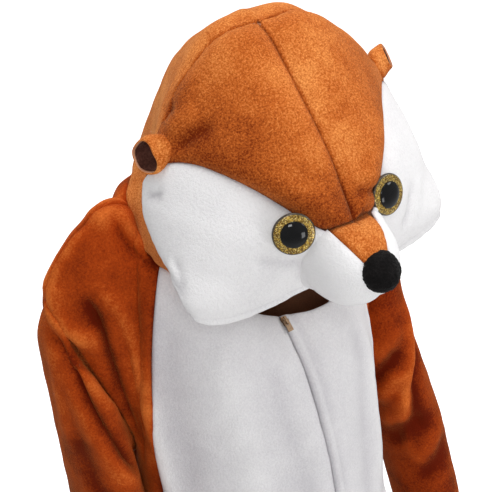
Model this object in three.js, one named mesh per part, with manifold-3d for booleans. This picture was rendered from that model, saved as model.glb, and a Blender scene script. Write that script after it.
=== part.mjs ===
// A child's squirrel onesie in plush: hooded body with a white belly, zip front, sleeves and legs.
// Millimetres, +Z up, front towards -Y, +X on the wearer's left. The origin is the middle of the neck,
// where the garment hangs on the wearer's shoulders.
import * as THREE from 'three';
import manifoldModule from 'manifold-3d';

// ---- driving sizes -----------------------------------------------------------------------------
const plush = 3;                  // wall of the plush cloth
const earPlush = 2;               // thinner plush of the ears
const seamGap = 0.3;              // between pieces that are sewn together
const foldGap = 0.8;              // trim of a piece whose seam is folded sharply
const neckShoulder = 96;          // degrees round the neckline from the front to the shoulder seam
const shoulderTip = [146, 8, 8];
const shoulderPull = { neck: [18, 5.5, 17], tip: [-6, 0, 34] };  // handles of the shoulder seam's curve
const sideTurn = 104;             // degrees round the body from the front to the side seam
const hoodTurn = -6;              // degrees that the head looks to the wearer's right
const hoodAxis = [0, -20];
const hoodShift = 5;              // the head sits this far to the wearer's left
const hoodFade = 1.25;            // the turn is whole over the upper fifth of the hood's back
const zipRows = 15;               // rows of the body that the zip runs down, to z -410
const bellyWide = 78;             // degrees round the body from the front to the belly panel's edge
const bellyEnd = -500;            // height of the belly panel's rounded end
const bellyCurve = -380;          // height where its edge starts to round in

// columns and rows of the cloth grids
const neckColumns = 6, whiteColumns = 4, shoulderColumns = 5, backNeckColumns = 8;
const armholeRows = 10, crownRows = 7, cheekRows = 4;
const backHoodRows = 7, faceColumns = 7, sleeveRows = 10;
const muzzleRows = 5, bridgeColumns = 2;
const earRows = 4, earColumns = 12;

const colour = {
  rust: 0xb35a23, white: 0xe9e9ec, earInside: 0x4a2216, nose: 0x1b1817,
  iris: 0xa98436, pupil: 0x0b0b0c, brass: 0xa88b5e, tape: 0xd9d9dc,
};

// ---- tables ------------------------------------------------------------------------------------
// Half of the body, level by level below the underarm. side and inner are distances from the centre
// plane, front and back are half depths about y, and split goes from one tube (0) to two legs (1).
// ridge draws the inner side of a leg out to the crotch.
const bodyLevels = [
  { z: -150, side: 108, inner: 0, ridge: 0, front: 88, back: 84, y: -30, split: 0 },
  { z: -190, side: 109, inner: 0, ridge: 0, front: 94, back: 86, y: -29, split: 0 },
  { z: -250, side: 110, inner: 0, ridge: 0, front: 97, back: 88, y: -28, split: 0 },
  { z: -330, side: 112, inner: 0, ridge: 0, front: 98, back: 92, y: -24, split: 0 },
  { z: -420, side: 118, inner: 0, ridge: 0, front: 96, back: 98, y: -19, split: 0 },
  { z: -480, side: 127, inner: 0, ridge: 0, front: 92, back: 98, y: -15, split: 0.08 },
  { z: -530, side: 134, inner: 0, ridge: 10, front: 88, back: 94, y: -12, split: 0.5 },
  { z: -570, side: 138, inner: 0, ridge: 14, front: 84, back: 88, y: -9, split: 1 },
  { z: -610, side: 141, inner: 4, ridge: 6, front: 79, back: 82, y: -7, split: 1 },
  { z: -720, side: 142, inner: 9, ridge: 0, front: 69, back: 71, y: -3, split: 1 },
  { z: -840, side: 140, inner: 17, ridge: 0, front: 61, back: 61, y: 0, split: 1 },
  { z: -960, side: 136, inner: 30, ridge: 0, front: 53, back: 53, y: 2, split: 1 },
];
// The neckline, by degrees round it from its front middle.
const neckline = [
  { at: 0, x: 0, y: -70, z: -42, lean: 0.4 }, { at: 20, x: 28, y: -76, z: -33, lean: 0.5 },
  { at: 40, x: 56, y: -68, z: -18, lean: 0.55 }, { at: 64, x: 80, y: -42, z: 12, lean: 0.2 },
  { at: 80, x: 79, y: -24, z: 34, lean: 0.04 }, { at: 96, x: 73, y: -3, z: 56, lean: 0 },
  { at: 112, x: 64, y: 10, z: 68, lean: 0 }, { at: 130, x: 50, y: 27, z: 61, lean: 0 },
  { at: 155, x: 28, y: 41, z: 59, lean: 0 }, { at: 180, x: 0, y: 46, z: 58, lean: 0 },
];
// Yoke ribs run from the neckline and shoulder seam down to the underarm level, u from the middle to
// the armhole, each with a pull at its top and its low end.
const frontYoke = [
  { u: 0, topX: 0, topY: -26, topZ: -26, lowX: 0, lowY: 8, lowZ: 42 },
  { u: 0.17, topX: 6, topY: -22, topZ: -30, lowX: 0, lowY: 6, lowZ: 46 },
  { u: 0.33, topX: 18, topY: -6, topZ: -40, lowX: 2, lowY: 4, lowZ: 58 },
  { u: 0.5, topX: 24, topY: -42, topZ: -16, lowX: 3, lowY: 0, lowZ: 60 },
  { u: 0.75, topX: 8, topY: -44, topZ: -10, lowX: 4, lowY: -12, lowZ: 56 },
  { u: 1, topX: 4, topY: -32, topZ: -30, lowX: 6, lowY: -30, lowZ: 44 },
];
const backYoke = [
  { u: 0, topX: 0, topY: 12, topZ: -50, lowX: 0, lowY: 6, lowZ: 60 },
  { u: 0.5, topX: 9, topY: 34, topZ: -4, lowX: 4, lowY: 12, lowZ: 64 },
  { u: 0.75, topX: -3, topY: 36, topZ: -2, lowX: 6, lowY: 18, lowZ: 56 },
  { u: 1, topX: 6, topY: 32, topZ: -22, lowX: 4, lowY: 26, lowZ: 40 },
];
// Sleeve rings: the outer and the inner point of each, its middle in y, and its half depth.
const sleeveRings = {
  right: [
    { outX: 153, outZ: -24, inX: 112, inZ: -152, y: 4, deep: 42 },
    { outX: 156, outZ: -60, inX: 112, inZ: -162, y: 0, deep: 42 },
    { outX: 157, outZ: -105, inX: 112, inZ: -178, y: -4, deep: 40 },
    { outX: 159, outZ: -155, inX: 113.5, inZ: -204, y: -8, deep: 40 },
    { outX: 160, outZ: -215, inX: 115.5, inZ: -244, y: -13, deep: 39 },
    { outX: 162, outZ: -285, inX: 117.5, inZ: -298, y: -22, deep: 38 },
    { outX: 161, outZ: -362, inX: 119, inZ: -352, y: -38, deep: 36 },
    { outX: 159, outZ: -450, inX: 119, inZ: -430, y: -64, deep: 33 },
  ],
  left: [
    { outX: 153, outZ: -24, inX: 112, inZ: -152, y: 4, deep: 42 },
    { outX: 157, outZ: -60, inX: 112, inZ: -162, y: -2, deep: 41 },
    { outX: 161, outZ: -105, inX: 114, inZ: -178, y: -8, deep: 39 },
    { outX: 168, outZ: -152, inX: 121, inZ: -202, y: -12, deep: 38 },
    { outX: 182, outZ: -212, inX: 134, inZ: -240, y: -17, deep: 37 },
    { outX: 195, outZ: -285, inX: 146, inZ: -300, y: -25, deep: 36 },
    { outX: 200, outZ: -362, inX: 150, inZ: -355, y: -38, deep: 35 },
    { outX: 197, outZ: -450, inX: 151, inZ: -432, y: -62, deep: 33 },
  ],
};
// The hood's centre seam from the crown down to the bridge of the nose.
const centreSeam = [
  { t: 0, y: -80, z: 204 }, { t: 0.2, y: -104, z: 186 }, { t: 0.45, y: -133, z: 157 },
  { t: 0.7, y: -157, z: 128 }, { t: 0.88, y: -171, z: 106 }, { t: 1, y: -178, z: 95 },
];
// The seam that parts the face from the back of the hood: crown to ear, then down behind the cheek.
const crownSeam = [
  { t: 0, x: 0, y: -80, z: 204 }, { t: 0.3, x: 35, y: -75, z: 197 }, { t: 0.6, x: 66, y: -76, z: 172 },
  { t: 0.82, x: 86, y: -79, z: 145 }, { t: 1, x: 99, y: -80, z: 117 },
];
const cheekSeam = [
  { t: 0, x: 99, y: -80, z: 117 }, { t: 0.3, x: 104, y: -84, z: 95 }, { t: 0.6, x: 104, y: -99, z: 74 },
  { t: 0.85, x: 106.5, y: -128, z: 53 }, { t: 1, x: 102, y: -136, z: 39 },
];
// Face ribs run from the middle of the face to the seam above; each has a pull at both of its ends.
const foreheadRibs = [
  { t: 0, outX: 10, outY: 0, outZ: 1, backX: 0, backY: -4, backZ: 2 },
  { t: 0.3, outX: 18, outY: 0, outZ: 4, backX: -4, backY: -14, backZ: 6 },
  { t: 0.6, outX: 30, outY: 0, outZ: 8, backX: -8, backY: -26, backZ: 10 },
  { t: 0.85, outX: 32, outY: 0, outZ: 18, backX: -14, backY: -30, backZ: 22 },
  { t: 1, outX: 19, outY: 8, outZ: 5.5, backX: -21, backY: -21, backZ: 50 },
];
const cheekRibs = [
  { t: 0, outX: 19, outY: 8, outZ: 5.5, backX: -21, backY: -21, backZ: 50 },
  { t: 0.33, outX: 24, outY: -2, outZ: 10, backX: -4, backY: -40, backZ: 14 },
  { t: 0.66, outX: 30, outY: -4, outZ: 2, backX: 2, backY: -32, backZ: 2 },
  { t: 1, outX: 30, outY: 4, outZ: -10, backX: -14, backY: -8, backZ: -10 },
];
// Back ribs run from that seam to the neckline, station 0 at the middle of the back.
const backRibs = [
  { t: 0, fromX: 0, fromY: 38, fromZ: 10, toX: 0, toY: 14, toZ: 50 },
  { t: 0.2, fromX: -6, fromY: 34, fromZ: 2, toX: -6, toY: 12, toZ: 44 },
  { t: 0.42, fromX: -12, fromY: 26, fromZ: -14, toX: -10, toY: 2, toZ: 30 },
  { t: 0.64, fromX: -22, fromY: 18, fromZ: -20, toX: -16, toY: -14, toZ: 22 },
  { t: 0.82, fromX: -16, fromY: 16, fromZ: -22, toX: 0, toY: -14, toZ: 20 },
  { t: 1, fromX: -14, fromY: 14, fromZ: -20, toX: 10, toY: -16, toZ: 14 },
];
// The muzzle's root, from its top middle round to its under side, and its tip.
const muzzleRoot = [
  { t: 0, x: 0, y: -178, z: 95 }, { t: 0.17, x: 17, y: -173, z: 92 }, { t: 0.42, x: 29, y: -163, z: 75 },
  { t: 0.65, x: 30, y: -156, z: 54 }, { t: 0.85, x: 20, y: -151, z: 40 }, { t: 1, x: 0, y: -150, z: 37 },
];
const bridgeShare = 0.17;         // of the half root that the brown bridge takes
const chinShare = 0.85;           // of the half root that meets the cheeks
const muzzleMiddle = [0, -162, 64];
const muzzleTip = [0, -207, 61];
const muzzleRound = 3;            // power of the muzzle's profile towards its tip
const muzzleTaper = 0.14;         // share by which it narrows towards its tip

// The nose pad, its middle and the way it faces.
const nose = { radius: 13.5, high: 11, place: [0, -205, 69], aim: [0, -0.86, 0.5] };
// The eyes: a ringed disc and a domed pupil, as [radius, height] from the back of the disc.
const eye = {
  x: { left: 34.6, right: 39.4 }, y: -167.3, z: 96, out: 23, up: 12,
  disc: [[0, 0], [14.2, 0], [15, 0.8], [15, 1.8], [14.2, 2.6], [12.6, 2.4], [8.5, 2.4], [0, 2.4]],
  pupil: [[0, 2.7], [8.8, 2.7], [8.4, 3.5], [6.4, 4.6], [3.4, 5.3], [0, 5.5]],
};
// The ears are rolled into cups: each runs from a ring on the hood to its mouth, an open ring.
const ear = {
  base: [86.1, -87.9, 141.1], facing: [0.85, -0.31, 0.43], lift: 2.3, baseRadius: 8,
  left: { mouth: [98, -84.5, 145.5], opening: [0.77, -0.5, 0.41], high: 8.6, across: 9.4 },
  right: { mouth: [95.3, -87.3, 139.3], opening: [0.87, -0.36, 0.25], high: 12, across: 12.8 },
  leave: 1, belly: 1.5, arrive: 1.5, curl: -1.5,
  between: 0.7, lining: 1.5, liningLow: 0.35, liningHigh: 0.9,
};
const zip = {
  tapeWidth: 24, tapeWall: 1, behind: 0.9, ahead: 1.8, below: 5,
  slider: { wide: 5.2, high: 7, deep: 2 },
  bridge: { wide: 1.4, long: 5.6, band: 1.1, play: 0.3 },
  pull: { wide: 4.6, long: 9, thick: 1, window: 2.5, open: 3.8 },
};

// ---- small vector tools ------------------------------------------------------------------------
const radians = (degrees) => degrees * Math.PI / 180;
const mix = (a, b, t) => a.map((value, k) => value + (b[k] - value) * t);
const add = (a, b, share = 1) => a.map((value, k) => value + b[k] * share);
const minus = (a, b) => a.map((value, k) => value - b[k]);
const length = (a) => Math.hypot(...a);
const unit = (a) => a.map((value) => value / (length(a) || 1));
const cross = (a, b) => [
  a[1] * b[2] - a[2] * b[1], a[2] * b[0] - a[0] * b[2], a[0] * b[1] - a[1] * b[0],
];
const mirrored = ([x, y, z]) => [-x, y, z];
const smooth = (t) => { const s = Math.min(1, Math.max(0, t)); return s * s * (3 - 2 * s); };

// One column of a table at any place between its rows: a cubic through the rows, slopes by thirds.
function column(table, key, at, name) {
  const sign = table[1][key] > table[0][key] ? 1 : -1;
  let k = 0;
  while (k < table.length - 2 && sign * at > sign * table[k + 1][key]) k += 1;
  const slope = (i) => {
    const a = table[Math.max(0, i - 1)], b = table[Math.min(table.length - 1, i + 1)];
    return (b[name] - a[name]) / (b[key] - a[key]);
  };
  const p = table[k], q = table[k + 1], step = q[key] - p[key], t = (at - p[key]) / step;
  const h = t * t * (3 - 2 * t);
  return p[name] * (1 - h) + q[name] * h
    + step * (slope(k) * t * (1 - t) ** 2 - slope(k + 1) * t * t * (1 - t));
}
const row = (table, key, at, names) => names.map((name) => column(table, key, at, name));
const bezier = (a, b, c, d, t) => a.map((value, k) =>
  value * (1 - t) ** 3 + 3 * b[k] * t * (1 - t) ** 2 + 3 * c[k] * t * t * (1 - t) + d[k] * t ** 3);

// ---- cloth sheets ------------------------------------------------------------------------------
// A sheet is a grid of points on the middle of its wall. Sheets that share a seam share its points,
// so the normals there are the mean of both and their walls meet face to face, seamGap apart.
const sheets = [];
function sheet(name, shade, rows, columns, at, more = {}) {
  const grid = Array.from({ length: rows + 1 }, (_, i) =>
    Array.from({ length: columns + 1 }, (_, j) => at(i, j)));
  sheets.push({ name, shade, grid, wall: plush, inside: [0, -20], tube: false, ...more });
}
const keyOf = (point) => point.map((value) => Math.round(value * 50)).join(' ');

function quadNormal(grid, i, j) {
  const across = minus(grid[i + 1][j + 1], grid[i][j]), up = minus(grid[i + 1][j], grid[i][j + 1]);
  return cross(across, up);
}

// Turns each sheet so that its normals point away from its inside, and adds them up at shared points.
function sharedNormals(pieces) {
  const total = new Map();
  for (const piece of pieces) {
    const { grid } = piece;
    let outward = 0;
    for (let i = 0; i + 1 < grid.length; i += 1) {
      for (let j = 0; j + 1 < grid[0].length; j += 1) {
        const centre = mix(grid[i][j], grid[i + 1][j + 1], 0.5);
        const core = [piece.inside[0], piece.inside[1], piece.inside[2] ?? centre[2]];
        const n = quadNormal(grid, i, j), away = minus(centre, core);
        outward += n[0] * away[0] + n[1] * away[1] + n[2] * away[2];
      }
    }
    piece.flip = outward < 0 ? -1 : 1;
    for (let i = 0; i + 1 < grid.length; i += 1) {
      for (let j = 0; j + 1 < grid[0].length; j += 1) {
        const n = unit(quadNormal(grid, i, j)).map((value) => value * piece.flip);
        for (const key of new Set([[i, j], [i + 1, j], [i, j + 1], [i + 1, j + 1]]
          .map(([a, b]) => keyOf(grid[a][b])))) {
          total.set(key, add(total.get(key) ?? [0, 0, 0], n));
        }
      }
    }
  }
  for (const piece of pieces) {
    piece.normals = piece.grid.map((line) => line.map((point) => unit(total.get(keyOf(point)))));
  }
}

// Moves the points of every open edge in by half a gap.
function trimmed({ grid, normals, tube, flip, gap = seamGap }) {
  const last = grid.length - 1, end = grid[0].length - 1;
  const isPoint = (line) => line.every((point) => length(minus(point, line[0])) < 0.02);
  const dot = (a, b) => a[0] * b[0] + a[1] * b[1] + a[2] * b[2];
  // Square to the edge before and after the point, towards the neighbour, at half a gap from both.
  const inward = (point, neighbour, before, after, normal, sign) => {
    const towards = minus(neighbour, point);
    const [one, two] = [minus(point, before), minus(after, point)].map((way) => {
      if (length(way) < 0.01) return null;
      const edge = unit(way), square = cross(edge, normal);
      if (length(square) < 0.5) return unit(add(towards, edge, -dot(towards, edge)));
      return unit(square).map((value) => sign * flip * value);
    });
    const first = one ?? two, second = two ?? one;
    return add(first, second).map((value) => value * gap / 2 / Math.max(0.5, 1 + dot(first, second)));
  };
  return grid.map((line, i) => {
    const neighbour = i === 0 ? grid[1] : i === last ? grid[last - 1] : null;
    if (neighbour && isPoint(line)) {
      const towards = unit(minus(neighbour[Math.round(end / 2)], line[0]));
      return line.map(() => add(line[0], towards, gap));
    }
    return line.map((point, j) => {
      const above = grid[Math.max(0, i - 1)], below = grid[Math.min(last, i + 1)];
      const before = tube && j === 0 ? end - 1 : Math.max(0, j - 1);
      const after = tube && j === end ? 1 : Math.min(end, j + 1);
      const normal = normals[i][j];
      let moved = point;
      const move = (...edge) => { moved = add(moved, inward(point, ...edge)); };
      if (neighbour) move(neighbour[j], line[before], line[after], normal, i === 0 ? -1 : 1);
      if (!tube && j === 0) move(line[1], above[0], below[0], normal, 1);
      if (!tube && j === end) move(line[end - 1], above[end], below[end], normal, -1);
      return moved;
    });
  });
}

// A closed body from corner points and faces, each a list of corners; flat faces of no area go.
function solid(faces) {
  const index = new Map(), places = [], corners = [];
  const corner = (point) => {
    const key = point.map((value) => Math.round(value * 2000)).join(' ');
    if (!index.has(key)) {
      index.set(key, places.length / 3);
      places.push(...point);
    }
    return index.get(key);
  };
  for (const face of faces) {
    const ids = face.map(corner);
    for (const [a, b, c] of ids.length === 4 ? [[0, 1, 2], [0, 2, 3]] : [[0, 1, 2]]) {
      if (ids[a] !== ids[b] && ids[b] !== ids[c] && ids[c] !== ids[a]) {
        corners.push(ids[a], ids[b], ids[c]);
      }
    }
  }
  const geometry = new THREE.BufferGeometry();
  geometry.setAttribute('position', new THREE.Float32BufferAttribute(places, 3));
  geometry.setIndex(corners);
  return geometry;
}

function clothWall(piece) {
  const grid = trimmed(piece), { normals, wall, tube, flip } = piece;
  const last = grid.length - 1, end = grid[0].length - 1, faces = [];
  const outer = (i, j) => add(grid[i][j], normals[i][j], wall / 2);
  const inner = (i, j) => add(grid[i][j], normals[i][j], -wall / 2);
  const face = (a, b, c, d) => faces.push(flip > 0 ? [a, b, c, d] : [a, d, c, b]);
  for (let i = 0; i < last; i += 1) {
    for (let j = 0; j < end; j += 1) {
      face(outer(i, j), outer(i, j + 1), outer(i + 1, j + 1), outer(i + 1, j));
      face(inner(i, j), inner(i + 1, j), inner(i + 1, j + 1), inner(i, j + 1));
    }
  }
  // The faces of an edge are split from the lower outer corner, the same way on both sides of a seam.
  const edgeFace = ([i, j], [k, l]) => {
    const a = grid[i][j], b = grid[k][l], lower = a[2] < b[2] || (a[2] === b[2] && a[1] < b[1]);
    if (lower) face(outer(i, j), inner(i, j), inner(k, l), outer(k, l));
    else face(inner(i, j), inner(k, l), outer(k, l), outer(i, j));
  };
  for (let j = 0; j < end; j += 1) {
    edgeFace([0, j], [0, j + 1]);
    edgeFace([last, j + 1], [last, j]);
  }
  if (!tube) {
    for (let i = 0; i < last; i += 1) {
      edgeFace([i + 1, 0], [i, 0]);
      edgeFace([i, end], [i + 1, end]);
    }
  }
  return solid(faces);
}

const group = new THREE.Group();
function addMesh(name, geometry, shade, roughness = 0.95, metalness = 0) {
  geometry.computeVertexNormals();
  const material = new THREE.MeshStandardMaterial({ color: shade, roughness, metalness });
  const mesh = new THREE.Mesh(geometry, material);
  mesh.name = name;
  group.add(mesh);
  return mesh;
}

// ---- body --------------------------------------------------------------------------------------
// The neckline hangs lower on the wearer's left: lean is its drop per millimetre from the middle.
function neckPoint(degrees, side) {
  const [x, y, z, lean] = row(neckline, 'at', degrees, ['x', 'y', 'z', 'lean']);
  return [x, y, z - side * lean * x];
}
const neckCorner = neckPoint(neckShoulder, 0);
const shoulderPoint = (t) => bezier(
  neckCorner, add(neckCorner, shoulderPull.neck), add(shoulderTip, shoulderPull.tip), shoulderTip, t);

// A level below the underarm; turn is 0 at the front middle, 90 at the side, 180 at the back middle.
const roundness = { front: 1.18, back: 0.92 };
function levelPoint(z, turn) {
  const [side, inner, ridge, front, back, y, split] = row(
    bodyLevels, 'z', z, ['side', 'inner', 'ridge', 'front', 'back', 'y', 'split']);
  const a = radians(turn), s = Math.max(0, Math.sin(a)), c = Math.cos(a);
  const power = turn < 90 ? roundness.front : roundness.back;
  const depth = turn < 90 ? front : back;
  const one = [side * s ** power, y - Math.sign(c) * depth * Math.abs(c) ** power];
  const half = (side - inner) / 2;
  const wave = Math.sin(2 * a), leg = [
    inner + half - half * Math.cos(2 * a) + ridge * Math.abs(wave) * c * c, y - depth * wave];
  const share = Math.min(1, Math.max(0, split));
  return [one[0] + (leg[0] - one[0]) * share, one[1] + (leg[1] - one[1]) * share, z];
}

// Heights of the rows below the underarm.
const lowLevels = [
  -150, -190, -235, -290, -350, -410, -450, -480, -500, -530, -570, -610, -720, -840, -960,
];

// Edge of the white belly panel, as degrees of turn, and of the neckline above.
const bellyNeck = neckShoulder * whiteColumns / neckColumns;
const bellyTurn = (z) => {
  const round = Math.max(0, (z - bellyCurve) / (bellyEnd - bellyCurve));
  return bellyWide * Math.sqrt(Math.max(0, 1 - round ** 2));
};
const bellyRows = armholeRows + lowLevels.findIndex((z) => z <= bellyEnd);

// The yoke above the underarm level: ribs from the neckline and shoulder seam down to that level.
function yokeRib(front, u, top, low, t) {
  const names = ['topX', 'topY', 'topZ', 'lowX', 'lowY', 'lowZ'];
  const [topX, topY, topZ, lowX, lowY, lowZ] = row(front ? frontYoke : backYoke, 'u', u, names);
  return bezier(top, add(top, [topX, topY, topZ]), add(low, [lowX, lowY, lowZ]), low, t);
}
// The armhole is the last rib of the front and of the back, from the shoulder tip to the underarm.
const armholePoint = (front, t) =>
  yokeRib(front, 1, shoulderTip, levelPoint(bodyLevels[0].z, sideTurn), t);

// Points of half of the front or back, by row and column.
function bodyPoint(front, side, i, j) {
  const neckCount = front ? neckColumns : backNeckColumns, all = neckCount + shoulderColumns;
  const start = front ? 0 : 180, towards = front ? 1 : -1;
  const neckAngle = (k) => start + (neckShoulder - start) * k / neckCount;
  const topPoint = (u) => {
    const k = u * all;
    return k <= neckCount
      ? neckPoint(neckAngle(k), side) : shoulderPoint((k - neckCount) / shoulderColumns);
  };
  const turnAt = (z, k) => {
    const share = k / all;
    if (!front) return 180 - (180 - sideTurn) * share;
    const edge = bellyTurn(z), white = whiteColumns;
    return k <= white ? edge * k / white : edge + (sideTurn - edge) * (k - white) / (all - white);
  };
  if (i >= armholeRows) {
    const z = lowLevels[i - armholeRows];
    return levelPoint(z, turnAt(z, j));
  }
  const low = levelPoint(bodyLevels[0].z, turnAt(bodyLevels[0].z, j));
  return yokeRib(front, j / all, topPoint(j / all), low, i / armholeRows);
}

const bodyRows = armholeRows + lowLevels.length - 1;
for (const [side, sign, place] of [['left', 1, (p) => p], ['right', -1, mirrored]]) {
  const frontColumns = neckColumns + shoulderColumns - whiteColumns;
  sheet(`front_${side}`, colour.rust, bodyRows, frontColumns,
    (i, j) => place(bodyPoint(true, sign, i, j + whiteColumns)));
  sheet(`belly_${side}`, colour.white, bellyRows, whiteColumns,
    (i, j) => place(bodyPoint(true, sign, i, j)));
  sheet(`back_${side}`, colour.rust, bodyRows, backNeckColumns + shoulderColumns,
    (i, j) => place(bodyPoint(false, sign, i, j)), { gap: foldGap });

  // The sleeve starts on the armhole's points and is one tube down to its hem.
  const around = 2 * armholeRows;
  const rings = sleeveRings[side].map((ring, k, all) => ({ t: k / (all.length - 1), ...ring }));
  sheet(`sleeve_${side}`, colour.rust, sleeveRows, around, (i, j) => {
    const turn = j % around, front = turn <= armholeRows;
    if (i === 0) {
      return place(armholePoint(front, (front ? turn : around - turn) / armholeRows));
    }
    const t = (i - 1) / (sleeveRows - 1), a = 2 * Math.PI * turn / around;
    const [outX, outZ, inX, inZ, y, deep] = row(
      rings, 't', t, ['outX', 'outZ', 'inX', 'inZ', 'y', 'deep']);
    const c = Math.cos(a);
    return place([(outX + inX) / 2 + c * (outX - inX) / 2, y - deep * Math.sin(a),
      (outZ + inZ) / 2 + c * (outZ - inZ) / 2]);
  }, { tube: true, inside: [side === 'left' ? 165 : -145, -10] });
}

// ---- hood --------------------------------------------------------------------------------------
// The head's turn about the upright axis; share fades it to nothing at the neckline.
function turned([x, y, z], share = 1) {
  const a = radians(hoodTurn * share), c = Math.cos(a), s = Math.sin(a);
  const dx = x - hoodAxis[0], dy = y - hoodAxis[1];
  return [hoodAxis[0] + hoodShift * share + c * dx - s * dy, hoodAxis[1] + s * dx + c * dy, z];
}
const xyz = ['x', 'y', 'z'];
const stations = crownRows + cheekRows;
const seamAt = (k) => k <= crownRows
  ? row(crownSeam, 't', k / crownRows, xyz)
  : row(cheekSeam, 't', (k - crownRows) / cheekRows, xyz);
const rootAt = (t) => row(muzzleRoot, 't', t, xyz);
const rootShare = (k) => bridgeShare + (chinShare - bridgeShare) * k / cheekRows;
const faceMiddle = (k) => {
  if (k >= crownRows) return rootAt(rootShare(k - crownRows));
  return [0, ...row(centreSeam, 't', k / (crownRows - 1), ['y', 'z'])];
};
function faceRib(k, j) {
  const brow = k <= crownRows, table = brow ? foreheadRibs : cheekRibs;
  const t = brow ? k / crownRows : (k - crownRows) / cheekRows;
  const [outX, outY, outZ, backX, backY, backZ] = row(
    table, 't', t, ['outX', 'outY', 'outZ', 'backX', 'backY', 'backZ']);
  const from = faceMiddle(k), to = seamAt(k);
  if (k === 0) return from;
  return bezier(from, add(from, [outX, outY, outZ]), add(to, [backX, backY, backZ]), to, j / faceColumns);
}
const headInside = [0, -60, 90];
for (const [side, place] of [['left', (p) => p], ['right', mirrored]]) {
  sheet(`forehead_${side}`, colour.rust, crownRows, faceColumns,
    (i, j) => turned(place(faceRib(i, j))), { inside: headInside });
  sheet(`cheek_${side}`, colour.white, cheekRows, faceColumns,
    (i, j) => turned(place(faceRib(crownRows + i, j))), { inside: headInside });
}
// The back of the hood is one piece; its columns go from the right cheek over the crown to the left.
sheet('hood_back', colour.rust, backHoodRows, 2 * stations, (i, j) => {
  const k = Math.abs(j - stations), place = j < stations ? mirrored : (p) => p;
  const degrees = k <= backNeckColumns
    ? 180 - (180 - neckShoulder) * k / backNeckColumns
    : neckShoulder * (1 - (k - backNeckColumns) / neckColumns);
  const names = ['fromX', 'fromY', 'fromZ', 'toX', 'toY', 'toZ'];
  const [fromX, fromY, fromZ, toX, toY, toZ] = row(backRibs, 't', k / stations, names);
  const from = seamAt(k), to = neckPoint(degrees, j < stations ? -1 : 1), t = i / backHoodRows;
  const point = bezier(from, add(from, [fromX, fromY, fromZ]), add(to, [toX, toY, toZ]), to, t);
  return turned(place(point), smooth(hoodFade * (1 - t)));
}, { inside: headInside, gap: foldGap });

// The muzzle: rings of the root's shape that close to its tip. t goes round, r goes forwards.
function muzzlePoint(t, r) {
  const size = Math.sqrt(Math.max(0, 1 - r ** muzzleRound)), centre = mix(muzzleMiddle, muzzleTip, r);
  const offset = minus(rootAt(t), muzzleMiddle), flat = [offset[0], offset[1] * (1 - r), offset[2]];
  return add(centre, flat, size * (1 - muzzleTaper * r));
}
const muzzleReach = (i) => Math.sin(Math.PI / 2 * i / muzzleRows) ** 0.9;
const muzzleInside = add(muzzleMiddle, [0, -3, -2]);
for (const [side, place] of [['left', (p) => p], ['right', mirrored]]) {
  sheet(`muzzle_${side}`, colour.white, muzzleRows, cheekRows + 1, (i, j) => {
    const t = j <= cheekRows ? rootShare(j) : 1;
    return turned(place(muzzlePoint(t, muzzleReach(i))));
  }, { inside: muzzleInside });
}
sheet('bridge', colour.rust, muzzleRows, bridgeColumns, (i, j) => {
  const across = (j - bridgeColumns / 2) / (bridgeColumns / 2);
  const point = muzzlePoint(Math.abs(across) * bridgeShare, muzzleReach(i));
  return turned(across < 0 ? mirrored(point) : point);
}, { inside: muzzleInside });

sharedNormals(sheets);
for (const piece of sheets) addMesh(piece.name, clothWall(piece), piece.shade);
const finished = (name) => sheets.find((piece) => piece.name === name);

// ---- joining and cutting -----------------------------------------------------------------------
const wasm = await manifoldModule();
wasm.setup();
function toManifold(geometry) {
  const mesh = new wasm.Mesh({
    numProp: 3,
    vertProperties: new Float32Array(geometry.attributes.position.array),
    triVerts: new Uint32Array(geometry.index.array),
  });
  mesh.merge();
  return new wasm.Manifold(mesh);
}
function fromManifold(body) {
  const mesh = body.getMesh(), places = mesh.vertProperties, faces = [];
  for (let k = 0; k < mesh.triVerts.length; k += 3) {
    faces.push([0, 1, 2].map((c) => {
      const v = mesh.triVerts[k + c] * mesh.numProp;
      return [places[v], places[v + 1], places[v + 2]];
    }));
  }
  return solid(faces);
}

// ---- turned shapes -----------------------------------------------------------------------------
// A profile of [radius, height] pairs turned about +Z, from the bottom of the axis to its top.
function lathe(profile, segments) {
  const faces = [];
  const at = ([radius, height], k) => {
    const a = 2 * Math.PI * (k % segments) / segments;
    return [radius * Math.cos(a), radius * Math.sin(a), height];
  };
  for (let i = 0; i + 1 < profile.length; i += 1) {
    const low = profile[i], high = profile[i + 1];
    for (let k = 0; k < segments; k += 1) {
      faces.push([at(low, k), at(low, k + 1), at(high, k + 1), at(high, k)]);
    }
  }
  return solid(faces);
}
// Turns +Z of a shape to a direction and moves it to a place.
function aimed(geometry, direction, place) {
  const turn = new THREE.Quaternion().setFromUnitVectors(
    new THREE.Vector3(0, 0, 1), new THREE.Vector3(...direction).normalize());
  return geometry.applyQuaternion(turn).translate(...place);
}

// ---- nose --------------------------------------------------------------------------------------
// A round pad, hollowed to sit on the end of the muzzle.
const ball = Array.from({ length: 11 }, (_, k) => {
  const a = Math.PI * k / 10;
  return [nose.radius * Math.sin(a), -nose.high * Math.cos(a)];
});
const noseAim = turned(add(nose.place, nose.aim)), nosePlace = turned(nose.place);
const noseBall = aimed(lathe(ball, 20), minus(noseAim, nosePlace), nosePlace);
const muzzleOuter = ['muzzle_left', 'muzzle_right', 'bridge'].flatMap((name) => {
  const { grid, normals } = finished(name);
  return grid.flatMap((line, i) => line.map((point, j) =>
    add(point, normals[i][j], plush / 2 + seamGap)));
});
const seat = wasm.Manifold.hull(muzzleOuter);
addMesh('nose', fromManifold(toManifold(noseBall).subtract(seat)), colour.nose, 0.9);

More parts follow.
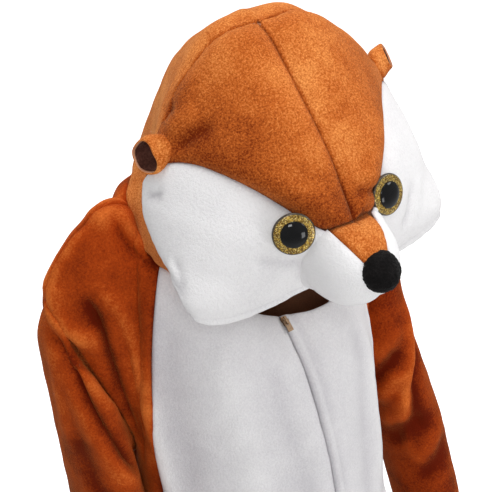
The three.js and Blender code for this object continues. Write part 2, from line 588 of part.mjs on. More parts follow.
// ---- eyes --------------------------------------------------------------------------------------
for (const [side, sign] of [['left', 1], ['right', -1]]) {
  const out = radians(eye.out) * sign, up = radians(eye.up);
  const aim = [Math.sin(out) * Math.cos(up), -Math.cos(out) * Math.cos(up), Math.sin(up)];
  const place = [sign * eye.x[side], eye.y, eye.z];
  const direction = minus(turned(add(place, aim)), turned(place));
  addMesh(`eye_${side}`, aimed(lathe(eye.disc, 24), direction, turned(place)), colour.iris, 0.35);
  addMesh(`pupil_${side}`, aimed(lathe(eye.pupil, 20), direction, turned(place)), colour.pupil, 0.12);
}

// ---- ears --------------------------------------------------------------------------------------
// turn goes round a ring from its top; v goes from the ring on the hood to the mouth.
function earRing(middle, facing, high, across, turn) {
  const axis = unit(facing), up = unit(add([0, 0, 1], axis, -axis[2]));
  const way = add(add([0, 0, 0], up, high * Math.cos(turn)), cross(axis, up), across * Math.sin(turn));
  return [add(middle, way), unit(way)];
}
function earPoint(side, turn, v) {
  const { mouth, opening: aim, high, across } = ear[side];
  const facing = unit(ear.facing), opening = unit(aim);
  const [start, away] = earRing(add(ear.base, facing, ear.lift), facing, ear.baseRadius, ear.baseRadius, turn);
  const [end, out] = earRing(mouth, opening, high, across, turn);
  const leave = add(add(start, facing, ear.leave), away, ear.belly);
  const arrive = add(add(end, opening, -ear.arrive), out, ear.curl);
  return bezier(start, leave, arrive, end, v);
}
const ears = [];
for (const [side, place] of [['left', (p) => p], ['right', mirrored]]) {
  const inside = turned(place(mix(ear.base, ear[side].mouth, 0.5)));
  const tubeOf = (low, high) => Array.from({ length: earRows + 1 }, (_, i) =>
    Array.from({ length: earColumns + 1 }, (_, j) =>
      turned(place(earPoint(side, 2 * Math.PI * (j % earColumns) / earColumns, low + (high - low) * i / earRows)))));
  const outer = { name: `ear_${side}`, shade: colour.rust, wall: earPlush, grid: tubeOf(0, 1), inside, tube: true };
  const inner = { name: `ear_lining_${side}`, shade: colour.earInside, wall: ear.lining,
    grid: tubeOf(ear.liningLow, ear.liningHigh), inside, tube: true };
  sharedNormals([inner]);
  const layer = earPlush / 2 + ear.between + ear.lining / 2;
  inner.grid = inner.grid.map((line, i) => line.map((point, j) => add(point, inner.normals[i][j], -layer)));
  ears.push(outer, inner);
}
for (const piece of ears) {
  sharedNormals([piece]);
  addMesh(piece.name, clothWall(piece), piece.shade);
}

// ---- zip ---------------------------------------------------------------------------------------
// The tape lies behind both halves of the belly, over the middle seam.
const belly = { left: finished('belly_left'), right: finished('belly_right') };
const tapeGrid = Array.from({ length: zipRows + 1 }, (_, i) => [-1, 0, 1].map((across) => {
  const { grid, normals } = across < 0 ? belly.right : belly.left;
  const share = Math.abs(across) * zip.tapeWidth / 2 / length(minus(grid[i][1], grid[i][0]));
  const normal = unit(mix(normals[i][0], normals[i][1], share));
  return add(mix(grid[i][0], grid[i][1], share), normal, -(plush / 2 + zip.behind + zip.tapeWall / 2));
}));
const tape = { grid: tapeGrid, wall: zip.tapeWall, inside: [0, -20], tube: false };
sharedNormals([tape]);
addMesh('zip_tape', clothWall(tape), colour.tape, 0.8);

// The slider and its pull, in a frame with +Z up along the zip, front towards -Y and the hinge of
// the pull along X through the origin.
function plate(outline, hole, depth) {
  const shape = new THREE.Shape(outline.map(([a, b]) => new THREE.Vector2(a, b)));
  if (hole) shape.holes.push(new THREE.Path(hole.map(([a, b]) => new THREE.Vector2(a, b))));
  const flat = new THREE.ExtrudeGeometry(shape, { depth, bevelEnabled: false });
  const places = flat.attributes.position, faces = [];
  for (let k = 0; k < places.count; k += 3) {
    faces.push([0, 1, 2].map((c) => [places.getX(k + c), places.getY(k + c), places.getZ(k + c)]));
  }
  return solid(faces);
}
const block = (w, low, high) => [[-w, low], [w, low], [w, high], [-w, high]];
const { slider, bridge: arch, pull } = zip;
const hip = slider.high * 0.3;
const sliderOutline = [
  [-slider.wide * 0.35, -slider.high / 2], [slider.wide * 0.35, -slider.high / 2],
  [slider.wide / 2, hip], [slider.wide * 0.3, slider.high / 2],
  [-slider.wide * 0.3, slider.high / 2], [-slider.wide / 2, hip],
];
// A plate drawn in x and z whose back is at y = back and whose front is depth nearer.
const upright = (outline, hole, depth, back) =>
  plate(outline, hole, depth).rotateX(Math.PI / 2).translate(0, back, 0);
const sliderBack = arch.play + pull.thick / 2 + slider.deep;
const sliderBody = upright(sliderOutline, null, slider.deep, sliderBack);
// The arch is drawn in depth and height and is as wide as its band.
const archTop = -(arch.play + pull.thick / 2), archLow = sliderBack - slider.deep;
const archOutline = [
  [archLow + 0.5, -arch.long / 2], [archLow + 0.5, arch.long / 2],
  [archTop - arch.band, arch.long / 2], [archTop - arch.band, -arch.long / 2],
];
const archHole = [
  [archLow, -arch.long / 2 + arch.band], [archLow, arch.long / 2 - arch.band],
  [archTop, arch.long / 2 - arch.band], [archTop, -arch.long / 2 + arch.band],
];
const turnUp = new THREE.Matrix4().makeBasis(
  new THREE.Vector3(0, 1, 0), new THREE.Vector3(0, 0, 1), new THREE.Vector3(1, 0, 0));
const archBody = plate(archOutline, archHole, arch.wide)
  .applyMatrix4(turnUp).translate(-arch.wide / 2, 0, 0);
const sliderShape = fromManifold(toManifold(sliderBody).add(toManifold(archBody)));
const pullShape = upright(
  block(pull.wide / 2, -pull.long, pull.thick / 2),
  block(pull.window / 2, -pull.open, -pull.thick / 2), pull.thick, pull.thick / 2);

// Both stand on the cloth at the top of the zip.
const [zipTop, zipNext] = [belly.left.grid[0][0], belly.left.grid[1][0]];
const upZip = unit(minus(zipTop, zipNext)), offZip = [0, -upZip[2], upZip[1]];
const onCloth = add(zipTop, upZip, -zip.below);
const hinge = add(onCloth, offZip, plush / 2 + zip.ahead + sliderBack);
for (const [name, shape] of [['zip_slider', sliderShape], ['zip_pull', pullShape]]) {
  const mesh = addMesh(name, shape, colour.brass, 0.35, 1);
  mesh.rotation.x = -Math.atan2(upZip[1], upZip[2]);
  mesh.position.set(...hinge);
}

export default group;
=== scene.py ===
import math
import bmesh
import bpy
import numpy as np
from mathutils import Matrix, Vector


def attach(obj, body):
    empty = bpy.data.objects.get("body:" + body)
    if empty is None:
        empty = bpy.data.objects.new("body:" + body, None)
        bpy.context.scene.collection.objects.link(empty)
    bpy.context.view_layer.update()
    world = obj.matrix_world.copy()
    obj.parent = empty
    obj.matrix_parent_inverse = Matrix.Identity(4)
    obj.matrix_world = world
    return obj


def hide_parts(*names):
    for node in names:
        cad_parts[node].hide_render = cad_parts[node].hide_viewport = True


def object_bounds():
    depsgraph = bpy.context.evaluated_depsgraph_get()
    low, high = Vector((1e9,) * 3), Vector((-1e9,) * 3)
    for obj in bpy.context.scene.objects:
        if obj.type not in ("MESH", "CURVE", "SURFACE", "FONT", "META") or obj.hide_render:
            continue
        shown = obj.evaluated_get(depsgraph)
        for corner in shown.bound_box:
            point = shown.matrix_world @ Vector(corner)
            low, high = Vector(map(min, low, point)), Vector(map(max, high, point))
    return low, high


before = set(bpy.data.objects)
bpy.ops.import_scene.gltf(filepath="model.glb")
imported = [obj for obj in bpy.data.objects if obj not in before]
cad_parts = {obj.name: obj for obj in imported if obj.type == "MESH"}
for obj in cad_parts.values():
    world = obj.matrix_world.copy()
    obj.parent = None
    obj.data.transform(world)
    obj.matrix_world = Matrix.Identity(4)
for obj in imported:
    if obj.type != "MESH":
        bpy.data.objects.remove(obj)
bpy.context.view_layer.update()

print("frame loaded,", len(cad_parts), "nodes")

# Sizes are in millimetres up to the moment a mesh is laid, +X is the wearer's left, -Y the front.
# cloth: the plush that everything is cut from
cloth = {
    "wall": 3.0,
    "roundEdge": 2.4,     # how far from its edge a piece starts to thin
    "edgeWall": 0.3,      # what is left of the wall at a seam
    "perCell": 8,         # grid lines in a cell of the pattern
    "edgeLines": [0.02, 0.055],   # more of them beside an edge, where it rounds over, in cells
    "rowStep": 5.0,       # between the rows down the body
    "swell": 1.0,         # slow unevenness of the whole surface
    "swellSize": 85.0,
    "ripple": 0.28,       # small unevenness
    "rippleSize": 19.0,
    "puckerSize": 8.0,    # the little waves that stitches pull along an edge,
    "puckerFrom": 2.0,    # how far from the edge they start and how soon they die away
    "puckerFade": 4.0,
    # painted shade in seams: shade is how dark the pile is painted in a seam, shadeReach how far from it
    "shade": 0.5,         # how dark the pile is in a seam, and how far from it
    "shadeReach": 2.2,
    # stitchShade is painted shade in the groove of the stitch line
    "stitchWide": 1.3,    # the line of stitches that holds a hem
    "stitchDeep": 0.9,
    "stitchShade": 0.25,
    # painted highlight and shade: a fold's ridge is painted paler and its trough darker
    "toneAt": 5.5,        # a fold this high is fully pale, and a trough this deep fully dark
}
# how each kind of edge is sewn: how deep the surface sinks at it, over what reach, and its puckers;
# stitch is how far from the edge a hem is stitched down, and shade, where given, is the painted shade in
# its groove in place of the cloth's
edgeKinds = {
    "seam": {"sink": 1.5, "reach": 6.0, "pucker": 0.45},
    "deep": {"sink": 3.4, "reach": 8.0, "pucker": 0.7},
    "flush": {"sink": 0.8, "reach": 4.5, "pucker": 0.25},
    "soft": {"sink": -1.6, "reach": 8.0, "pucker": 0.0, "shade": 0.0},
    "pleat": {"sink": 1.5, "reach": 5.0, "pucker": 0.0, "shade": 0.6},
    "zip": {"sink": 1.6, "reach": 2.6, "pucker": 0.2},
    "plain": {"sink": 0.3, "reach": 4.0, "pucker": 0.2, "shade": 0.1},
    "hem": {"sink": 0.0, "reach": 5.0, "pucker": 0.3, "stitch": 20.0},
    "faceHem": {"sink": -0.9, "reach": 4.0, "pucker": 0.45, "stitch": 6.5, "shade": 0.0},
    "tuck": {"sink": 3.0, "reach": 7.0, "pucker": 0.2},
}


def column(table, key, at, name):
    # a cubic through one column of a table; the slope at a row is that between the rows beside it
    x = np.array(table[key], float)
    y = np.array(table[name], float)
    sign = np.sign(x[1] - x[0])
    at = np.asarray(at, float)
    last = len(x) - 1
    k = np.clip(np.searchsorted(sign * x, sign * at, side="right") - 1, 0, last - 1)
    before = np.clip(np.arange(last + 1) - 1, 0, last)
    after = np.clip(np.arange(last + 1) + 1, 0, last)
    slope = (y[after] - y[before]) / (x[after] - x[before])
    step = x[k + 1] - x[k]
    t = (at - x[k]) / step
    h = t * t * (3 - 2 * t)
    bend = slope[k] * t * (1 - t) ** 2 - slope[k + 1] * t * t * (1 - t)
    return y[k] * (1 - h) + y[k + 1] * h + step * bend


def rowOf(table, key, at, names):
    # the same cubic for several columns, side by side in the last axis
    return np.stack([column(table, key, at, name) for name in names], -1)


def bezier(a, b, c, d, t):
    # a cubic curve from a to d, pulled towards b and c on its way
    t = np.asarray(t)[..., None]
    return a * (1 - t) ** 3 + 3 * b * t * (1 - t) ** 2 + 3 * c * t * t * (1 - t) + d * t ** 3


def smooth(t):
    # three times t squared less twice t cubed: 0 up to 0, 1 from 1 on, level at both ends
    s = np.clip(t, 0, 1)
    return s * s * (3 - 2 * s)


def unit(v):
    # every vector divided by its own length
    return v / np.maximum(np.linalg.norm(v, axis=-1, keepdims=True), 1e-9)


def spread(low, high):
    # even steps from low to high, with two more close to each end where the edge rounds over
    even = np.linspace(low, high, int(round((high - low) * cloth["perCell"])) + 1)
    near = np.array(cloth["edgeLines"])
    return np.unique(np.round(np.concatenate([even, low + near, high - near]), 6))


def wander(points, size, seed):
    # soft noise: seven sine waves of about that length in random directions, added up
    waves = 7
    rng = np.random.default_rng(seed)
    ways = unit(rng.normal(size=(waves, 3))) * (2 * np.pi / size * rng.uniform(0.6, 1.5, waves))[:, None]
    return np.sin(points @ ways.T + rng.uniform(0, 2 * np.pi, waves)).sum(-1) / 3


def areaOf(grid):
    # square metres: half the product of the diagonals of every cell, as vectors, added up
    return float(np.linalg.norm(np.cross(
        grid[1:, 1:] - grid[:-1, :-1], grid[1:, :-1] - grid[:-1, 1:]), axis=-1).sum()) / 2e6


# the body: one half, level by level below the underarm, and a yoke of ribs above it
body = {
    "neckShoulder": 96.0,      # degrees round the neckline from the front to the shoulder seam
    "sideTurn": 104.0,         # degrees round the body from the front to the side seam
    "shoulderTip": np.array([146.0, 8.0, 8.0]),
    "neckPull": np.array([18.0, 5.5, 17.0]),
    "tipPull": np.array([-6.0, 0.0, 34.0]),
    "bellyWide": 78.0,         # degrees from the front to the belly panel's edge
    "bellyCurve": -380.0,      # height where that edge starts to round in
    "bellyEnd": -500.0,
    "neckColumns": 6, "whiteColumns": 4, "shoulderColumns": 5, "backNeckColumns": 8,
    "armholeRows": 10,
    "frontRound": 1.18, "backRound": 0.92,
    "endRows": 34,             # rows down the belly's rounded end
    "evenTo": 956.0,           # where the even rows stop above the hem
    "hemRows": [957.5, 959.2, 960.0],
}
# half widths and depths of the body at each height, and how far it has split into two legs
bodyLevels = {
    "z": [-150, -190, -250, -330, -420, -480, -530, -570, -610, -720, -840, -960],
    "side": [108, 109, 110, 112, 118, 127, 134, 138, 141, 142, 140, 136],
    "inner": [0, 0, 0, 0, 0, 0, 0, 0, 4, 9, 17, 30],
    "ridge": [0, 0, 0, 0, 0, 0, 10, 14, 6, 0, 0, 0],
    "front": [88, 94, 97, 98, 96, 92, 88, 84, 79, 69, 61, 53],
    "back": [84, 86, 88, 92, 98, 98, 94, 88, 82, 71, 61, 53],
    "y": [-30, -29, -28, -24, -19, -15, -12, -9, -7, -3, 0, 2],
    "split": [0, 0, 0, 0, 0, 0.08, 0.5, 1, 1, 1, 1, 1],
}
# the neckline by degrees round it from the front; lean is how much lower it hangs on one side
neckline = {
    "at": [0, 20, 40, 64, 80, 96, 112, 130, 155, 180],
    "x": [0, 28, 56, 80, 79, 73, 64, 50, 28, 0],
    "y": [-70, -76, -68, -42, -24, -3, 10, 27, 41, 46],
    "z": [-42, -33, -18, 12, 34, 56, 68, 61, 59, 58],
    "lean": [0.4, 0.5, 0.55, 0.2, 0.04, 0, 0, 0, 0, 0],
}
# how the ribs of the yoke leave the top edge and reach the underarm, by their share across
frontYoke = {
    "u": [0, 0.17, 0.33, 0.5, 0.75, 1],
    "topX": [0, 6, 18, 24, 8, 4], "topY": [-26, -22, -6, -42, -44, -32],
    "topZ": [-26, -30, -40, -16, -10, -30], "lowX": [0, 0, 2, 3, 4, 6],
    "lowY": [8, 6, 4, 0, -12, -30], "lowZ": [42, 46, 58, 60, 56, 44],
}
backYoke = {
    "u": [0, 0.5, 0.75, 1],
    "topX": [0, 9, -3, 6], "topY": [12, 34, 36, 32], "topZ": [-50, -4, -2, -22],
    "lowX": [0, 4, 6, 4], "lowY": [6, 12, 18, 26], "lowZ": [60, 64, 56, 40],
}
yokePulls = ["topX", "topY", "topZ", "lowX", "lowY", "lowZ"]


def neckPoint(degrees, side):
    # the neckline hangs lower on the wearer's left by its lean
    x, y, z, lean = np.moveaxis(rowOf(neckline, "at", degrees, ["x", "y", "z", "lean"]), -1, 0)
    return np.stack([x, y, z - side * lean * x], -1)


def shoulderPoint(t):
    # the shoulder seam: a cubic curve from the neckline's corner to the tip of the shoulder
    corner = neckPoint(body["neckShoulder"], 0)
    tip = body["shoulderTip"]
    return bezier(corner, corner + body["neckPull"], tip + body["tipPull"], tip, t)


def levelPoint(z, turn):
    # a level is an oval whose half width and depths come from the table; turn is 0 at the front middle
    # and 180 at the back; towards the legs it blends into an oval of its own for each leg
    names = ["side", "inner", "ridge", "front", "back", "y", "split"]
    side, inner, ridge, front, back, y, split = np.moveaxis(rowOf(bodyLevels, "z", z, names), -1, 0)
    a = np.radians(turn)
    s = np.maximum(0, np.sin(a))
    c = np.cos(a)
    power = np.where(turn < 90, body["frontRound"], body["backRound"])
    depth = np.where(turn < 90, front, back)
    half = (side - inner) / 2
    wave = np.sin(2 * a)
    legX = inner + half - half * np.cos(2 * a) + ridge * np.abs(wave) * c * c
    share = np.clip(split, 0, 1)
    x = side * s ** power * (1 - share) + legX * share
    deep = np.sign(c) * depth * np.abs(c) ** power * (1 - share) + depth * wave * share
    return np.stack([x, y - deep, z + 0 * x], -1)


def bellyTurn(z):
    # the belly's edge stays at one angle down to where it curves, then follows a quarter of an ellipse
    fall = np.clip((z - body["bellyCurve"]) / (body["bellyEnd"] - body["bellyCurve"]), 0, 1)
    return body["bellyWide"] * np.sqrt(1 - fall ** 2)


def yokeRib(front, u, top, low, t):
    # a cubic curve from the top edge to the underarm level, with the pulls for its share u across
    pulls = rowOf(frontYoke if front else backYoke, "u", u, yokePulls)
    return bezier(top, top + pulls[..., :3], low + pulls[..., 3:], low, t)


def bodyGrid(front, side, down, across):
    # down is 0 to 10 from the top edge to the underarm, then minus the height; across counts cells.
    # above the underarm a point lies on a rib of the yoke, and below it on the oval of its level
    neckCells = body["neckColumns"] if front else body["backNeckColumns"]
    cells = neckCells + body["shoulderColumns"]
    start = 0 if front else 180
    degrees = start + (body["neckShoulder"] - start) * np.minimum(across, neckCells) / neckCells
    along = np.clip((across - neckCells) / body["shoulderColumns"], 0, 1)
    top = np.where((across <= neckCells)[:, None], neckPoint(degrees, side), shoulderPoint(along))
    z = np.where(down > body["armholeRows"], -down, bodyLevels["z"][0])[:, None]
    share = across / cells
    if front:
        white = body["whiteColumns"]
        edge = bellyTurn(z)
        outer = edge + (body["sideTurn"] - edge) * (across - white) / (cells - white)
        turn = np.where(across <= white, edge * across / white, outer)
    else:
        turn = 180 - (180 - body["sideTurn"]) * share + 0 * z
    low = levelPoint(z + 0 * turn, turn)
    t = np.clip(down / body["armholeRows"], 0, 1)[:, None] + 0 * turn
    return np.where((t < 1)[..., None], yokeRib(front, share, top, low, t), low)


def armholePoint(front, t):
    # the edge that the sleeve is set into: the outermost rib of the front or back
    low = levelPoint(np.array(bodyLevels["z"][0]), np.array(body["sideTurn"]))
    return yokeRib(front, 1.0, body["shoulderTip"], low, t)


# the sleeves: rings from the armhole to the hem, each with an outer and an inner point
sleeveRings = {
    "right": {
        "outX": [153, 156, 157, 159, 160, 162, 161, 159],
        "outZ": [-24, -60, -105, -155, -215, -285, -362, -450],
        "inX": [112, 112, 112, 113.5, 115.5, 117.5, 119, 119],
        "inZ": [-152, -162, -178, -204, -244, -298, -352, -430],
        "y": [4, 0, -4, -8, -13, -22, -38, -64], "deep": [42, 42, 40, 40, 39, 38, 36, 33],
    },
    "left": {
        "outX": [153, 157, 161, 168, 182, 195, 200, 197],
        "outZ": [-24, -60, -105, -152, -212, -285, -362, -450],
        "inX": [112, 112, 114, 121, 134, 146, 150, 151],
        "inZ": [-152, -162, -178, -202, -240, -300, -355, -432],
        "y": [4, -2, -8, -12, -17, -25, -38, -62], "deep": [42, 41, 39, 38, 37, 36, 35, 33],
    },
}
sleeve = {"rows": 10, "lead": 0.02}   # lead: how far down the direction of the first ring is taken


def sleeveRing(side, t, turn):
    # an ellipse between the outer and the inner point, deep towards the front and back
    rings = dict(sleeveRings[side], t=np.linspace(0, 1, len(sleeveRings[side]["deep"])))
    names = ["outX", "outZ", "inX", "inZ", "y", "deep"]
    outX, outZ, inX, inZ, y, deep = np.moveaxis(rowOf(rings, "t", t, names), -1, 0)
    c = np.cos(turn)
    return np.stack([(outX + inX) / 2 + c * (outX - inX) / 2, y - deep * np.sin(turn),
                     (outZ + inZ) / 2 + c * (outZ - inZ) / 2], -1)


def sleeveGrid(side, down, around):
    # around counts the armhole's rows, down in front and up behind, and gives the angle on each ring
    cells = 2 * body["armholeRows"]
    turn = 2 * np.pi * around / cells
    front = around <= body["armholeRows"]
    t = np.where(front, around, cells - around) / body["armholeRows"]
    armhole = np.where(front[:, None], armholePoint(True, t), armholePoint(False, t))
    below = sleeveRing(side, (np.maximum(down, 1)[:, None] - 1) / (sleeve["rows"] - 1), turn)
    # the first cell runs from the armhole to the first ring and leaves it in the sleeve's direction
    first = sleeveRing(side, 0 * turn, turn)
    leave = sleeveRing(side, 0 * turn + sleeve["lead"], turn) - first
    chord = first - armhole
    long = np.linalg.norm(chord, axis=-1, keepdims=True)
    s = np.clip(down, 0, 1)[:, None] + 0 * turn
    cap = bezier(armhole, armhole + chord / 3, first - unit(leave) * long / 3, first, s)
    return np.where((s < 1)[..., None], cap, below)


# the hood: face ribs from the middle of the face to the seam over the crown, back ribs behind
hood = {"turn": -6.0, "axisY": -20.0, "shift": 5.0, "fade": 1.25,
        "crownRows": 7, "cheekRows": 4, "faceColumns": 7, "backRows": 7, "inside": (0, -60, 90)}
# three seams by their share of the way down: over the forehead, over the crown, behind the cheek
centreSeam = {
    "t": [0, 0.2, 0.45, 0.7, 0.88, 1], "x": [0, 0, 0, 0, 0, 0],
    "y": [-80, -104, -133, -157, -171, -178], "z": [204, 186, 157, 128, 106, 95],
}
crownSeam = {
    "t": [0, 0.3, 0.6, 0.82, 1], "x": [0, 35, 66, 86, 99],
    "y": [-80, -75, -76, -79, -80], "z": [204, 197, 172, 145, 117],
}
cheekSeam = {
    "t": [0, 0.3, 0.6, 0.85, 1], "x": [99, 104, 104, 106.5, 102],
    "y": [-80, -84, -99, -128, -136], "z": [117, 95, 74, 53, 39],
}
# how the ribs of the face and of the hood's back leave one seam and reach the next
foreheadRibs = {
    "t": [0, 0.3, 0.6, 0.85, 1],
    "outX": [10, 18, 30, 32, 19], "outY": [0, 0, 0, 0, 8], "outZ": [1, 4, 8, 18, 5.5],
    "backX": [0, -4, -8, -14, -21], "backY": [-4, -14, -26, -30, -21], "backZ": [2, 6, 10, 22, 50],
}
cheekRibs = {
    "t": [0, 0.33, 0.66, 1],
    "outX": [19, 24, 30, 30], "outY": [8, -2, -4, 4], "outZ": [5.5, 10, 2, -10],
    "backX": [-21, -4, 2, -14], "backY": [-21, -40, -32, -8], "backZ": [50, 14, 2, -10],
}
backRibs = {
    "t": [0, 0.2, 0.42, 0.64, 0.82, 1],
    "fromX": [0, -6, -12, -22, -16, -14], "fromY": [38, 34, 26, 18, 16, 14],
    "fromZ": [10, 2, -14, -20, -22, -20], "toX": [0, -6, -10, -16, 0, 10],
    "toY": [14, 12, 2, -14, -14, -16], "toZ": [50, 44, 30, 22, 20, 14],
}
# the line where the muzzle stands on the face, from the bridge round to the chin
muzzleRoot = {
    "t": [0, 0.17, 0.42, 0.65, 0.85, 1], "x": [0, 17, 29, 30, 20, 0],
    "y": [-178, -173, -163, -156, -151, -150], "z": [95, 92, 75, 54, 40, 37],
}
muzzle = {"bridgeShare": 0.17, "chinShare": 0.85, "rows": 5, "round": 3.0, "taper": 0.14, "close": 0.9,
          "middle": np.array([0.0, -162.0, 64.0]), "tip": np.array([0.0, -207.0, 61.0]),
          "inside": (0, -165, 62)}


def turned(points, share=1.0):
    # turns the head about its upright axis and moves it to one side; share fades both out
    a = np.radians(hood["turn"] * share)
    x, y, z = np.moveaxis(points, -1, 0)
    dy = y - hood["axisY"]
    return np.stack([hood["shift"] * share + np.cos(a) * x - np.sin(a) * dy,
                     hood["axisY"] + np.sin(a) * x + np.cos(a) * dy, z + 0 * a], -1)


def seamAt(k):
    # the seam round the face: over the crown to the ear, then down behind the cheek
    crown = rowOf(crownSeam, "t", np.minimum(k / hood["crownRows"], 1), "xyz")
    cheek = rowOf(cheekSeam, "t", np.clip((k - hood["crownRows"]) / hood["cheekRows"], 0, 1), "xyz")
    return np.where((k <= hood["crownRows"])[..., None], crown, cheek)


def rootShare(k):
    # how far round the muzzle's root a row of the cheek lies, in even steps from bridge to chin
    return muzzle["bridgeShare"] + (muzzle["chinShare"] - muzzle["bridgeShare"]) * k / hood["cheekRows"]


def faceMiddle(k):
    # the inner edge of the face: down the forehead, one row across to the bridge, then round the muzzle
    rows = hood["crownRows"]
    brow = rowOf(centreSeam, "t", np.clip(k / (rows - 1), 0, 1), "xyz")
    bridge = rowOf(muzzleRoot, "t", muzzle["bridgeShare"] * np.clip(k - rows + 1, 0, 1), "xyz")
    root = rowOf(muzzleRoot, "t", rootShare(np.maximum(k - rows, 0)), "xyz")
    return np.where((k <= rows - 1)[..., None], brow, np.where((k <= rows)[..., None], bridge, root))


def faceGrid(k, across):
    # ribs from the middle of the face to the seam; near the crown their pulls shrink to nothing
    k = k[:, None] + 0 * across
    rows = hood["crownRows"]
    names = ["outX", "outY", "outZ", "backX", "backY", "backZ"]
    brow = rowOf(foreheadRibs, "t", np.minimum(k / rows, 1), names)
    cheek = rowOf(cheekRibs, "t", np.clip((k - rows) / hood["cheekRows"], 0, 1), names)
    pulls = np.where((k <= rows)[..., None], brow, cheek) * np.minimum(k, 1)[..., None]
    start = faceMiddle(k)
    end = seamAt(k)
    return bezier(start, start + pulls[..., :3], end + pulls[..., 3:], end,
                  across / hood["faceColumns"] + 0 * k)


def hoodBackGrid(down, across):
    # across is below 0 on the wearer's right; the ribs end on the neckline
    k = np.abs(across)[None, :] + 0 * down[:, None]
    right = across < 0
    backCells = body["backNeckColumns"]
    stations = hood["crownRows"] + hood["cheekRows"]
    shoulder = body["neckShoulder"]
    degrees = np.where(k <= backCells, 180 - (180 - shoulder) * k / backCells,
                       shoulder * (1 - (k - backCells) / body["neckColumns"]))
    names = ["fromX", "fromY", "fromZ", "toX", "toY", "toZ"]
    pulls = rowOf(backRibs, "t", k / stations, names)
    start = seamAt(k)
    end = np.where(right[:, None], neckPoint(degrees, -1), neckPoint(degrees, 1))
    t = down[:, None] / hood["backRows"] + 0 * k
    points = bezier(start, start + pulls[..., :3], end + pulls[..., 3:], end, t)
    points[..., 0] *= np.where(right, -1, 1)
    return turned(points, smooth(hood["fade"] * (1 - t)))


def muzzlePoint(t, r):
    # rings of the root's shape, t round it, that shrink and flatten towards the tip as r goes to 1
    size = np.sqrt(np.maximum(0, 1 - r ** muzzle["round"])) * (1 - muzzle["taper"] * r)
    offset = rowOf(muzzleRoot, "t", t, "xyz") - muzzle["middle"]
    offset[..., 1] *= 1 - r
    centre = muzzle["middle"] + (muzzle["tip"] - muzzle["middle"]) * r[..., None]
    return centre + offset * size[..., None]


def muzzleReach(down):
    # rows from root to tip that lie closer as they near the tip: a quarter wave to a power
    return np.sin(np.pi / 2 * down / muzzle["rows"]) ** muzzle["close"]


def crease(high, wide, path, lip=None):
    # a path of points beside the surface, how high the cloth stands there and how wide
    # lip is the side that falls away steeply; high below 0 is a trough
    return {"high": high, "wide": wide, "path": np.array(path, float), "lip": lip}


creases = {
    "steps": 5,           # pieces that each stretch of a path is cut into
    "margin": 2.6,        # how many of its own widths a crease reaches
    "fade": 0.28,         # the share of its path over which each end fades, and what is left there
    "kept": 0.12,
    "lipNarrow": 0.5,     # how much narrower it is beyond its lip, and how soon, per millimetre
    "lipRate": 0.25,
}
rightCreases = [
    # the cap of the front that bulges over the sleeve, and the hollow under it
    crease(4.5, 8, [(-98, -2, 60), (-112, 0, 54), (-125, 2, 45), (-137, 5, 34), (-144, 8, 20),
                    (-150, 3, 4), (-148, -6, -8), (-141, -15, -17), (-132, -22, -26), (-126, -27, -36)],
           (-0.6, -0.2, -0.8)),
    crease(-6, 6, [(-154, 4, -10), (-154, -8, -18), (-149, -17, -26), (-141, -25, -34),
                   (-131, -31, -42)]),
    # the deep gap along the armhole, between arm and chest
    crease(-9, 6, [(-131, -14, 16), (-126, -22, 4), (-123, -27, -12), (-122, -30, -30), (-119, -32, -59),
                   (-116, -33, -84), (-112, -32, -114), (-109, -27, -148)], (0.9, -0.4, 0)),
    crease(-3, 14, [(-134, -12, 14), (-130, -19, 0), (-127, -24, -14)]),
    # the roll of the front beside the gap
    crease(4, 8, [(-122, -17, 24), (-117, -24, 12), (-112, -32, -4), (-110, -38, -28), (-109, -40, -60),
                  (-107, -42, -96), (-104, -45, -137), (-101, -50, -175), (-99, -53, -230)],
           (-0.9, 0.3, 0)),
    crease(-1.2, 7, [(-104, -34, 8), (-104, -41, -20), (-104, -46, -55), (-103, -50, -95)]),
    # the roll of the collar that carries the line of the neck down to the shoulder
    crease(6, 12, [(-68, 14, 65), (-78, 8, 64), (-88, 4, 64), (-98, 1, 63), (-110, 0, 59)]),
    crease(-3, 8, [(-52, 34, 68), (-58, 28, 68), (-64, 22, 67), (-70, 17, 66)]),
    # the folds that fall across the upper sleeve
    crease(2.2, 8, [(-150, -14, -28), (-147, -25, -42), (-141, -33, -58), (-132, -36, -76),
                    (-121, -31, -94)], (-0.5, 0, -0.9)),
    crease(-8, 6.5, [(-151, -6, -18), (-150, -21, -36), (-149, -30, -55), (-146, -37, -72),
                     (-139, -42, -95), (-129, -42, -121), (-115, -33, -146)], (0.6, 0, 0.8)),
    crease(4, 10, [(-155, -12, -34), (-155, -24, -56), (-153, -33, -78), (-147, -41, -102),
                   (-137, -45, -130), (-124, -42, -156)], (0.5, 0, 0.8)),
    crease(3, 8, [(-154, 0, -16), (-158, -4, -45), (-160, -8, -80), (-160, -12, -118)]),
    crease(-3, 9, [(-158, -18, -78), (-157, -24, -112), (-152, -32, -148), (-142, -40, -180)]),
    crease(3, 10, [(-160, -22, -130), (-155, -34, -170), (-146, -43, -205), (-134, -46, -232)]),
    crease(-3.5, 9, [(-160, -20, -170), (-155, -32, -205), (-146, -44, -240), (-132, -50, -262)]),
]
